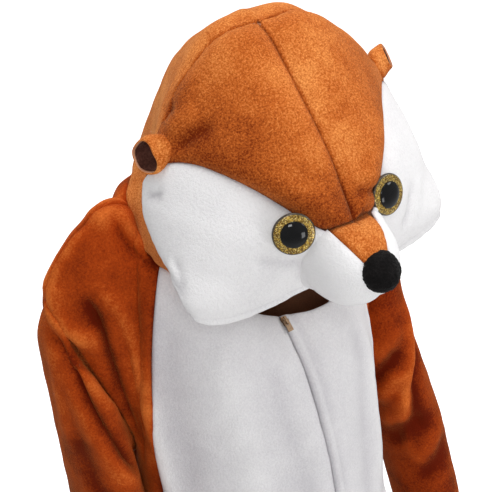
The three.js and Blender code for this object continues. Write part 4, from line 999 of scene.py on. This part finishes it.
def layMesh(name, points, faces, material, attributes=None, backFaces=None, backMaterial=None,
            outward=False):
    # puts points in millimetres into a mesh and merges those on one spot; backFaces is 1 for each face
    # that takes backMaterial, attributes hold a number for every point, outward turns loose faces out
    mesh = bpy.data.meshes.new(name)
    mesh.from_pydata(points * laying["millimetre"], [], faces)
    mesh.materials.append(material)
    if backMaterial:
        mesh.materials.append(backMaterial)
        mesh.polygons.foreach_set("material_index", backFaces.astype(np.int32))
    for label, values in (attributes or {}).items():
        mesh.attributes.new(label, "FLOAT", "POINT").data.foreach_set("value", values.ravel())
    mesh.polygons.foreach_set("use_smooth", np.ones(len(mesh.polygons), bool))
    work = bmesh.new()
    work.from_mesh(mesh)
    bmesh.ops.remove_doubles(work, verts=work.verts, dist=laying["merge"])
    if outward:
        bmesh.ops.recalc_face_normals(work, faces=work.faces)
    work.to_mesh(mesh)
    work.free()
    mesh.update()
    piece = bpy.data.objects.new(name, mesh)
    bpy.context.scene.collection.objects.link(piece)
    return piece


def gridFaces(rows, columns, flip):
    # the number of every point of a grid, and a square face for every cell, turned over below flip 0
    index = np.arange(rows * columns).reshape(rows, columns)
    quads = np.stack([index[:-1, :-1], index[:-1, 1:], index[1:, 1:], index[1:, :-1]], -1).reshape(-1, 4)
    return index, quads if flip > 0 else quads[:, ::-1]


def wallFaces(rows, columns, flip, tube):
    # the faces of a grid's outer copy, a rim that joins it to the inner copy, and the inner copy's faces
    # turned over; with them a 1 for each of those last
    index, quads = gridFaces(rows, columns, flip)
    if tube:
        loops = [index[0], index[-1][::-1]]
    else:
        loops = [np.concatenate([index[0], index[1:, -1], index[-1, -2::-1], index[-2::-1, 0]])]
    rims = []
    for loop in loops:
        p, q = loop[:-1], loop[1:]
        rim = np.stack([q, p, p + index.size, q + index.size], -1)
        rims.append(rim if flip > 0 else rim[:, ::-1])
    rims = np.concatenate(rims)
    reverse = np.zeros(2 * len(quads) + len(rims))
    reverse[len(quads) + len(rims):] = 1
    return np.concatenate([quads, rims, quads[:, ::-1] + index.size]), reverse


def bothSides(grid, offset):
    # the grid moved out and in by an offset, as one list of points
    return np.concatenate([(grid + offset).reshape(-1, 3), (grid - offset).reshape(-1, 3)])


def layShell(name, piece, front, back):
    # the cloth as a closed wall: the grid moved out and in by half its thickness, joined by a rim;
    # towards a free or sewn edge the thickness falls as a quarter circle does
    rows, columns = piece["grid"].shape[:2]
    thin = np.clip(piece["nearest"] / cloth["roundEdge"], 0, 1)
    halfEdge = cloth["edgeWall"] / 2
    halfWall = halfEdge + (piece["wall"] - cloth["edgeWall"]) / 2 * np.sqrt(1 - (1 - thin) ** 2)
    points = bothSides(piece["grid"], piece["normals"] * halfWall[..., None])
    faces, reverse = wallFaces(rows, columns, piece["flip"], piece["tube"])
    # the painted highlight and shade of folds, the painted shade of seams and the painted light and shade
    # of the lean go to the mesh as attributes
    tones = {"foldShadeAndMottle": piece["tone"], "seamShade": piece["shade"], "leanLightShade": piece["nap"]}
    for label, values in tones.items():
        even = (values + np.zeros((rows, columns))).ravel()
        tones[label] = np.concatenate([even, even])
    return layMesh(name, points, faces, plush[front], tones, reverse, plush[back])


made = {}
for name, piece in panels.items():
    knit = "whiteBack" if piece["finish"] == "white" else "rustBack"
    made[name] = layShell(name, piece, piece["finish"], knit)
    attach(made[name], "onesie")
    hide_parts(piece["node"])
for name, piece in panels.items():
    print(name, len(made[name].data.polygons), "faces,", round(piece["area"], 4), "m2,", piece["flat"])
print("plush laid")


# ears: each is rolled into a cup that stands on the crown seam, rust outside and dark inside
ear = {
    "base": np.array([86.1, -87.9, 141.1]), "facing": np.array([0.85, -0.31, 0.43]), "baseRadius": 8.0,
    "Left": {"mouth": np.array([98, -84.5, 145.5]), "opening": np.array([0.77, -0.5, 0.41]),
             "high": 8.6, "across": 9.4},
    "Right": {"mouth": np.array([95.3, -87.3, 139.3]), "opening": np.array([0.87, -0.36, 0.25]),
              "high": 12.0, "across": 12.8},
    "leave": 1.5, "arrive": 3.2, "belly": 2.4, "curl": 1.8, "sunk": 0.8, "lipAt": 1.0, "lipWide": 0.85,
    "lip": {"Left": 0.1, "Right": 0.5}, "lipOut": {"Left": 0.5, "Right": 2.5},
    "plush": 2.0, "lining": 1.5, "between": 0.1, "liningLow": 0.12, "liningHigh": 0.93,
    "rows": 25, "columns": 73, "crowd": 0.9,
    "shut": 0.22,                        # the share of the lining that closes at its root
    "dents": [(0.35, 12.0, 4), (0.5, 24.0, 7)],   # depth, size and seed of its unevenness
    "rootEdge": 3.0,                     # the root starts this far into its edge, so it stays thick
    # the ear's lean paints it a little paler, as if lit; its root is painted darker with painted shade
    # where it meets the hood, over rootReach; the mottle is tone that differs at random
    "lean": 0.15, "mottle": 0.25, "mottleSize": 16.0, "rootShade": 0.5, "rootReach": 4.0,
}


def ringAt(middle, facing, high, across, turn):
    # an ellipse about a middle, square to facing; turn 0 is its top
    axis = unit(facing)
    up = unit(np.array([0.0, 0.0, 1.0]) - axis[2] * axis)
    way = np.cos(turn)[..., None] * up * high + np.sin(turn)[..., None] * np.cross(axis, up) * across
    return middle + way, unit(way)


def earPoint(side, turn, v):
    # v runs from the ring on the hood to the open mouth; the wall bellies out between, curls in at the
    # rim, and follows a cubic curve
    start, outward = ringAt(ear["base"] - unit(ear["facing"]) * ear["sunk"], ear["facing"],
                            ear["baseRadius"], ear["baseRadius"], turn)
    rim = ear[side]
    end, outward2 = ringAt(rim["mouth"], rim["opening"], rim["high"], rim["across"], turn)
    # the front lip rolls over the mouth and stands out a little
    lip = np.exp((np.cos(turn - ear["lipAt"]) - 1) / ear["lipWide"] ** 2)[..., None]
    end = (end + (rim["mouth"] - end) * ear["lip"][side] * lip
           + unit(rim["opening"]) * ear["lipOut"][side] * lip)
    return bezier(start, start + unit(ear["facing"]) * ear["leave"] + outward * ear["belly"],
                  end - unit(rim["opening"]) * ear["arrive"] + outward2 * ear["curl"], end, v)


v, turn = np.meshgrid(np.linspace(0, 1, ear["rows"]) ** ear["crowd"],
                      np.linspace(0, 2 * np.pi, ear["columns"]), indexing="ij")
low, high = ear["liningLow"], ear["liningHigh"]
for side, place in [("Left", lambda p: p), ("Right", mirrorX)]:
    word = side.lower()
    inside = tuple(turned(place((ear["base"] + ear[side]["mouth"]) / 2)))
    for name, node, finish, wall, share in [
            ("ear" + side + "Plush", "ear_" + word, "litRust", ear["plush"], v),
            ("earLining" + side, "ear_lining_" + word, "ear", ear["lining"], low + (high - low) * v)]:
        piece = {"grid": turned(place(earPoint(side, turn, share))), "inside": inside, "tube": True,
                 "wall": wall, "nap": ear["lean"], "shade": 0.0}
        shareNormals([piece])
        if finish == "ear":
            layer = ear["plush"] / 2 + ear["between"] + ear["lining"] / 2
            piece["grid"] = piece["grid"] - piece["normals"] * layer
            middle = piece["grid"].mean(1, keepdims=True)
            shut = np.sqrt(np.clip(v / ear["shut"], 0, 1))[..., None]
            piece["grid"] = middle + (piece["grid"] - middle) * shut
        edges = fromEdges(piece["grid"], True)
        piece["nearest"] = np.minimum(edges["top"] + ear["rootEdge"], edges["bottom"])
        height = sum(deep * wander(piece["grid"], long, seed) for deep, long, seed in ear["dents"])
        piece["grid"] = piece["grid"] + piece["normals"] * height[..., None]
        # random mottle, less the painted shade at the root where the ear meets the hood
        piece["tone"] = (ear["mottle"] * wander(piece["grid"], ear["mottleSize"], 6)
                         - ear["rootShade"] * np.exp(-(edges["top"] / ear["rootReach"]) ** 2))
        made[name] = layShell(name, piece, finish, finish if finish == "ear" else "rustBack")
        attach(made[name], "onesie")
        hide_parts(node)
print("ears on")


def turnShape(profile, segments, direction, place, deform=None):
    # a profile of radius and height turned about its own axis, aimed along direction from place;
    # deform changes the turned points before they are aimed
    angle = np.linspace(0, 2 * np.pi, segments + 1)
    radius, height = np.array(profile, float).T
    local = np.stack([radius[:, None] * np.cos(angle), radius[:, None] * np.sin(angle),
                      height[:, None] + 0 * angle], -1)
    if deform is not None:
        local = deform(local)
    axis = unit(np.asarray(direction, float))
    sideways = unit(np.cross([0.0, 0.0, 1.0], axis))
    up = np.cross(axis, sideways)
    points = local @ np.stack([sideways, up, axis]) + place
    faces = gridFaces(len(profile), segments + 1, 1)[1]
    return points, faces, local


# nose: a round pad of black pile on the tip of the muzzle
nose = {"radius": 13.8, "high": 10.0, "place": np.array([0.0, -204.5, 69.5]),
        "aim": np.array([0.0, -0.84, 0.54]), "square": 0.92, "rows": 61, "columns": 120,
        "tuft": 0.3, "tufts": [(0.6, 3.4, 12), (0.7, 9.0, 13)], "mottle": 0.3, "mottleSize": 12.0}


def tuftedNose(local):
    # every point moved along its line from the middle by two soft noises, for a tufted surface
    shaken = nose["tuft"] * sum(deep * wander(local, long, seed) for deep, long, seed in nose["tufts"])
    return local + unit(local) * shaken[..., None]


angles = np.linspace(0, np.pi, nose["rows"])
profile = np.stack([nose["radius"] * np.sin(angles) ** nose["square"],
                    -nose["high"] * np.cos(angles)], -1)
noseEnd = turned(nose["place"] + nose["aim"])
noseAt = turned(nose["place"])
points, faces, local = turnShape(profile, nose["columns"], noseEnd - noseAt, noseAt, tuftedNose)
noseTone = nose["mottle"] * wander(local, nose["mottleSize"], 2)
still = np.zeros(noseTone.size)
made["nosePad"] = layMesh("nosePad", points.reshape(-1, 3), faces, plush["nose"],
                          {"foldShadeAndMottle": noseTone, "seamShade": still, "leanLightShade": still})
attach(made["nosePad"], "onesie")
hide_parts("nose")


# eyes: a domed ring of gold glitter in a dark rim, and a glossy pupil
eye = {
    "x": {"Left": 33.8, "Right": 39.4}, "y": -166.2, "z": 96.0,
    "out": {"Left": 12.0, "Right": 23.0}, "up": 12.0,     # degrees that it looks outwards and upwards
    "radius": 15.0, "size": 0.94, "pupil": 1.08, "segments": 96,
}
# radius and height of each, from the middle of the back round to the middle of the front
ringProfile = [(0, 0), (13.6, 0), (14.6, 0.25), (15, 0.8), (15.05, 1.5), (14.9, 2.1), (14.5, 2.5),
               (14.0, 2.72), (13.4, 2.85), (12.6, 2.98), (11.6, 3.12), (10.6, 3.24), (9.6, 3.32),
               (8.95, 3.35), (8.6, 3.1), (4, 3.0), (0, 3.0)]
pupilProfile = [(0, 2.9), (8.4, 2.9), (8.8, 3.1), (8.95, 3.42), (8.8, 3.72), (8.2, 4.1), (7.2, 4.55),
                (6, 4.93), (4.6, 5.25), (3, 5.46), (1.5, 5.57), (0, 5.6)]
glitter = {
    "flakes": 1300.0, "dust": 2600.0,
    # the flakes are painted: those that turn towards the light in gold with the brightest as painted
    # glints, the rest in painted shadow
    "shadow": (0.15, 0.075, 0.006, 1), "gold": (0.66, 0.42, 0.06, 1), "spark": (0.98, 0.84, 0.34, 1),
    "rim": (0.035, 0.024, 0.012, 1),
    "flakeFrom": 0.55, "flakeGain": 2.4,      # which flakes turn towards the light
    "sparkFrom": 0.82, "sparkGain": 6.0,
    "rimFrom": 0.925, "innerTo": 0.63, "rimSharp": 40.0,    # the dark rims, in shares of the radius
    "metal": 0.65, "rough": 0.25, "roughMore": 0.3, "bump": 0.0003, "coat": 0.35, "coatRough": 0.03,
}
gloss = {"black": (0.003, 0.003, 0.003, 1), "haze": (0.009, 0.009, 0.010, 1), "hazeScale": 160.0,
         "rough": 0.03, "roughMore": 0.08, "specular": 0.22}


def makeIris():
    # two cell patterns pick a tone for every flake: painted light and glints where a flake would turn
    # towards the light, painted shade on the rest; dark rims lie outside one radius and inside another
    material, tree, shader = newMaterial("irisGlitter")
    where = ownPlace(tree)
    radius = addNode(tree, "Attribute", attribute_name="fromMiddle").outputs["Fac"]
    flakes, dust = [addNode(tree, "SeparateColor", {
        "Color": pattern(tree, "Voronoi", where, glitter[size], "Color")}).outputs
        for size in ["flakes", "dust"]]
    bright = above(tree, flakes["Red"], glitter["flakeFrom"], glitter["flakeGain"])
    spark = above(tree, dust["Green"], glitter["sparkFrom"], glitter["sparkGain"])
    gold = mixColour(tree, bright, glitter["shadow"], glitter["gold"])
    gold = mixColour(tree, spark, gold, glitter["spark"])
    rim = above(tree, radius, glitter["rimFrom"], glitter["rimSharp"])
    inner = above(tree, glitter["innerTo"], radius, glitter["rimSharp"])
    dark = maths(tree, "MAXIMUM", rim, inner)
    metal = maths(tree, "MULTIPLY", maths(tree, "SUBTRACT", 1.0, dark), glitter["metal"])
    bump = addNode(tree, "Bump", {"Height": dust["Blue"], "Distance": glitter["bump"], "Strength": 0.5})
    feed(tree, shader, {
        "Base Color": mixColour(tree, dark, gold, glitter["rim"]), "Metallic": metal,
        "Roughness": scaled(tree, dust["Red"], glitter["roughMore"], glitter["rough"]),
        "Normal": bump.outputs["Normal"], "Coat Weight": glitter["coat"],
        "Coat Roughness": glitter["coatRough"]})
    return material


def makePupil():
    # black gloss with a faint haze of handling in its colour and its polish
    material, tree, shader = newMaterial("pupilGloss")
    haze = pattern(tree, "Noise", ownPlace(tree), gloss["hazeScale"], Detail=4.0)
    feed(tree, shader, {
        "Base Color": mixColour(tree, haze, gloss["black"], gloss["haze"]),
        "Roughness": scaled(tree, haze, gloss["roughMore"], gloss["rough"]),
        "Specular IOR Level": gloss["specular"]})
    return material


irisMaterial = makeIris()
pupilMaterial = makePupil()
for side, sign in [("Left", 1), ("Right", -1)]:
    out, up = math.radians(eye["out"][side]) * sign, math.radians(eye["up"])
    aim = np.array([math.sin(out) * math.cos(up), -math.cos(out) * math.cos(up), math.sin(up)])
    spot = np.array([sign * eye["x"][side], eye["y"], eye["z"]])
    way = turned(spot + aim) - turned(spot)
    for label, node, profile, material, slot in [
            ("iris", "eye_", ringProfile, irisMaterial, "iris"),
            ("pupil", "pupil_", pupilProfile, pupilMaterial, "pupil")]:
        wide = eye["size"] * (eye["pupil"] if label == "pupil" else 1)
        sized = np.array(profile) * np.array([wide, 1.0])
        points, faces, local = turnShape(sized, eye["segments"], way, turned(spot))
        radius = np.hypot(local[..., 0], local[..., 1]) / eye["radius"] / eye["size"]
        name = label + side
        made[name] = layMesh(name, points.reshape(-1, 3), faces, material, {"fromMiddle": radius})
        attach(made[name], "onesie")
        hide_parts(node + side.lower())
print("face finished")


# zip: a woven tape with its two rows of teeth behind the belly's edges, metal slider and pull
zipParts = {
    "tape": 24.0, "behind": 0.9, "wall": 1.0, "end": -410.0, "columns": 13,
    "tooth": 1.3, "toothHigh": 0.42, "toothDeep": 0.4,       # half of each side of a tooth
    "pitch": 2.2, "rowOut": 0.7, "rise": 0.75, "bare": 3.0,
    "weaveUp": 330.0, "weaveAcross": 420.0, "weaveRough": 0.85, "bump": 0.0003,
    "weaveDark": (0.50, 0.50, 0.53, 1), "weavePale": (0.78, 0.78, 0.80, 1),
    "bronzeDark": (0.14, 0.085, 0.05, 1), "bronzePale": (0.40, 0.28, 0.18, 1),
    "bronzeSpecks": 700.0, "bronzeRough": 0.2, "bronzeMore": 0.3,
}


def makeWeave():
    # two sets of fine waves, up and across, multiplied: pale where both threads stand high
    material, tree, shader = newMaterial("zipTapeWeave")
    where = ownPlace(tree)
    ribs = pattern(tree, "Wave", where, zipParts["weaveUp"], settings={"bands_direction": "Z"},
                   Distortion=0.6)
    ends = pattern(tree, "Wave", where, zipParts["weaveAcross"], settings={"bands_direction": "X"},
                   Distortion=0.4)
    weave = maths(tree, "MULTIPLY", ribs, ends)
    bump = addNode(tree, "Bump", {"Height": weave, "Distance": zipParts["bump"], "Strength": 0.8})
    feed(tree, shader, {
        "Base Color": mixColour(tree, weave, zipParts["weaveDark"], zipParts["weavePale"]),
        "Normal": bump.outputs["Normal"], "Roughness": zipParts["weaveRough"]})
    return material


def makeBronze():
    # dull metal that a noise wears paler and rougher in specks
    material, tree, shader = newMaterial("zipBronze")
    worn = pattern(tree, "Noise", ownPlace(tree), zipParts["bronzeSpecks"], Detail=5.0)
    feed(tree, shader, {
        "Base Color": mixColour(tree, worn, zipParts["bronzeDark"], zipParts["bronzePale"]),
        "Roughness": scaled(tree, worn, zipParts["bronzeMore"], zipParts["bronzeRough"]),
        "Metallic": 1.0})
    return material


tapeMaterial = makeWeave()
bronze = makeBronze()
# the tape follows the belly's first columns beside the zip, moved in behind the wall of the cloth
rows = (whiteRows <= body["armholeRows"]) | (whiteRows < -zipParts["end"])
left = bodyGrid(True, 1, whiteRows[rows], np.array([0.0, 0.2, 0.4]))
across = np.linspace(-1, 1, zipParts["columns"])
reachOut = np.linalg.norm(left[:, 2] - left[:, 0], axis=-1)
outward = unit(np.cross(left[:, 2] - left[:, 0], np.gradient(left[:, 0], axis=0)))
outward *= np.sign(-outward[:, 1:2])
share = np.abs(across) * zipParts["tape"] / 2 / reachOut[:, None]
grid = left[:, None, 0] + (left[:, None, 2] - left[:, None, 0]) * share[..., None]
grid[..., 0] *= np.where(across < 0, -1, 1)
grid = grid - outward[:, None] * (cloth["wall"] / 2 + zipParts["behind"] + zipParts["wall"] / 2)
tape = {"grid": grid, "inside": (0, -20, None)}
shareNormals([tape])
points = bothSides(grid, tape["normals"] * zipParts["wall"] / 2)
faces = wallFaces(grid.shape[0], grid.shape[1], tape["flip"], False)[0]
# teeth: small blocks set along the middle of the tape, one row moved half a pitch from the other
middle = grid[:, zipParts["columns"] // 2]
long = np.concatenate([[0], np.cumsum(np.linalg.norm(np.diff(middle, axis=0), axis=-1))])
stops = np.arange(zipParts["bare"], long[-1] - zipParts["bare"], zipParts["pitch"] / 2)
centre = np.stack([np.interp(stops, long, middle[:, k]) for k in range(3)], -1)
stand = np.stack([np.interp(stops, long, outward[:, k]) for k in range(3)], -1)
upward = unit(np.gradient(centre, axis=0))
centre[:, 0] += zipParts["rowOut"] * np.where(np.arange(len(stops)) % 2 == 0, 1, -1)
centre += stand * zipParts["rise"]
corner = np.array([(a, b, c) for a in (-1, 1) for b in (-1, 1) for c in (-1, 1)], float)
blocks = (centre[:, None] + corner[None, :, 0:1] * np.array([zipParts["tooth"], 0, 0])
          + corner[None, :, 1:2] * upward[:, None] * zipParts["toothHigh"]
          + corner[None, :, 2:3] * stand[:, None] * zipParts["toothDeep"])
cube = np.array([(0, 1, 3, 2), (4, 6, 7, 5), (0, 4, 5, 1), (2, 3, 7, 6), (0, 2, 6, 4), (1, 5, 7, 3)])
toothFaces = (cube[None] + 8 * np.arange(len(stops))[:, None, None]).reshape(-1, 4) + len(points)
metal = np.concatenate([np.zeros(len(faces)), np.ones(len(toothFaces))])
made["zipTapeWoven"] = layMesh("zipTapeWoven", np.concatenate([points, blocks.reshape(-1, 3)]),
                               np.concatenate([faces, toothFaces]), tapeMaterial, backFaces=metal,
                               backMaterial=bronze, outward=True)
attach(made["zipTapeWoven"], "onesie")
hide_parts("zip_tape")
for node in ["zip_slider", "zip_pull"]:
    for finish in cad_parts[node].material_slots:
        finish.material = bronze
print("zip in")


# floor, light and camera
scene = bpy.context.scene
studio = {"floor": (0.86, 0.86, 0.86, 1), "glow": 0.75, "world": 0.42, "backdrop": 0.93,
          "reach": 9.0, "below": 0.004}


def makeFloor():
    # a square under the hems; it glows for the camera alone, so it stays pale and lights nothing
    material, tree, shader = newMaterial("paleFloor")
    seen = addNode(tree, "LightPath").outputs["Is Camera Ray"]
    feed(tree, shader, {
        "Base Color": studio["floor"], "Roughness": 0.9, "Emission Color": (1, 1, 1, 1),
        "Emission Strength": maths(tree, "MULTIPLY", seen, studio["glow"])})
    mesh = bpy.data.meshes.new("studioFloor")
    reach, z = studio["reach"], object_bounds()[0].z - studio["below"]
    mesh.from_pydata([(x * reach, y * reach, z) for x, y in [(-1, -1), (1, -1), (1, 1), (-1, 1)]],
                     [], [(0, 1, 2, 3)])
    mesh.materials.append(material)
    floor = bpy.data.objects.new("studioFloor", mesh)
    scene.collection.objects.link(floor)


makeFloor()
world = bpy.data.worlds.new("studioWorld")
scene.world = world
world.use_nodes = True
tree = world.node_tree
# the world lights softly, and the camera sees it brighter than it lights
seen = addNode(tree, "LightPath").outputs["Is Camera Ray"]
feed(tree, tree.nodes["Background"].inputs, {
    "Color": (1.0, 1.0, 1.0, 1),
    "Strength": scaled(tree, seen, studio["backdrop"] - studio["world"], studio["world"])})

lights = [
    # name, place, target, size, watts
    ("keyBox", (-0.95, -1.45, 1.15), (0, -0.1, 0.0), 0.45, 11),
    ("topBox", (0.2, -0.1, 2.0), (0, -0.05, 0.0), 0.9, 21),
    ("rightBox", (1.5, -1.1, 1.0), (0, -0.1, 0.05), 0.7, 12.5),
    ("sideBox", (0.1, -1.9, -0.3), (0, -0.1, 0.05), 0.5, 6),
    ("backBox", (0.2, 1.4, 1.5), (0, 0, 0.0), 1.2, 12),
]
for name, place, target, size, watts in lights:
    lamp = bpy.data.lights.new(name, "AREA")
    lamp.size = size
    lamp.energy = watts
    box = bpy.data.objects.new(name, lamp)
    box.location = place
    box.rotation_mode = "QUATERNION"
    box.rotation_quaternion = (Vector(target) - Vector(place)).to_track_quat("-Z", "Y")
    scene.collection.objects.link(box)

# the camera looks at the target from an angle round and above it, leaned over a little
view = {"turn": -35.0, "height": 33.0, "lean": -6.0, "away": 1.1, "target": (0.005, -0.03, 0.0),
        "lens": 107.34, "sensor": 36.0}
a, e, r = (math.radians(view[key]) for key in ("turn", "height", "lean"))
back = Vector((math.sin(a) * math.cos(e), -math.cos(a) * math.cos(e), math.sin(e)))
level = Vector((math.cos(a), math.sin(a), 0))
rise = back.cross(level)
right = level * math.cos(r) + rise * math.sin(r)
upright = rise * math.cos(r) - level * math.sin(r)
lens = bpy.data.cameras.new("studioCamera")
lens.lens = view["lens"]
lens.sensor_width = view["sensor"]
camera = bpy.data.objects.new("studioCamera", lens)
camera.rotation_mode = "QUATERNION"
camera.location = Vector(view["target"]) + back * view["away"]
camera.rotation_quaternion = Matrix((right, upright, back)).transposed().to_quaternion()
scene.collection.objects.link(camera)
scene.camera = camera
scene.view_settings.view_transform = "Standard"
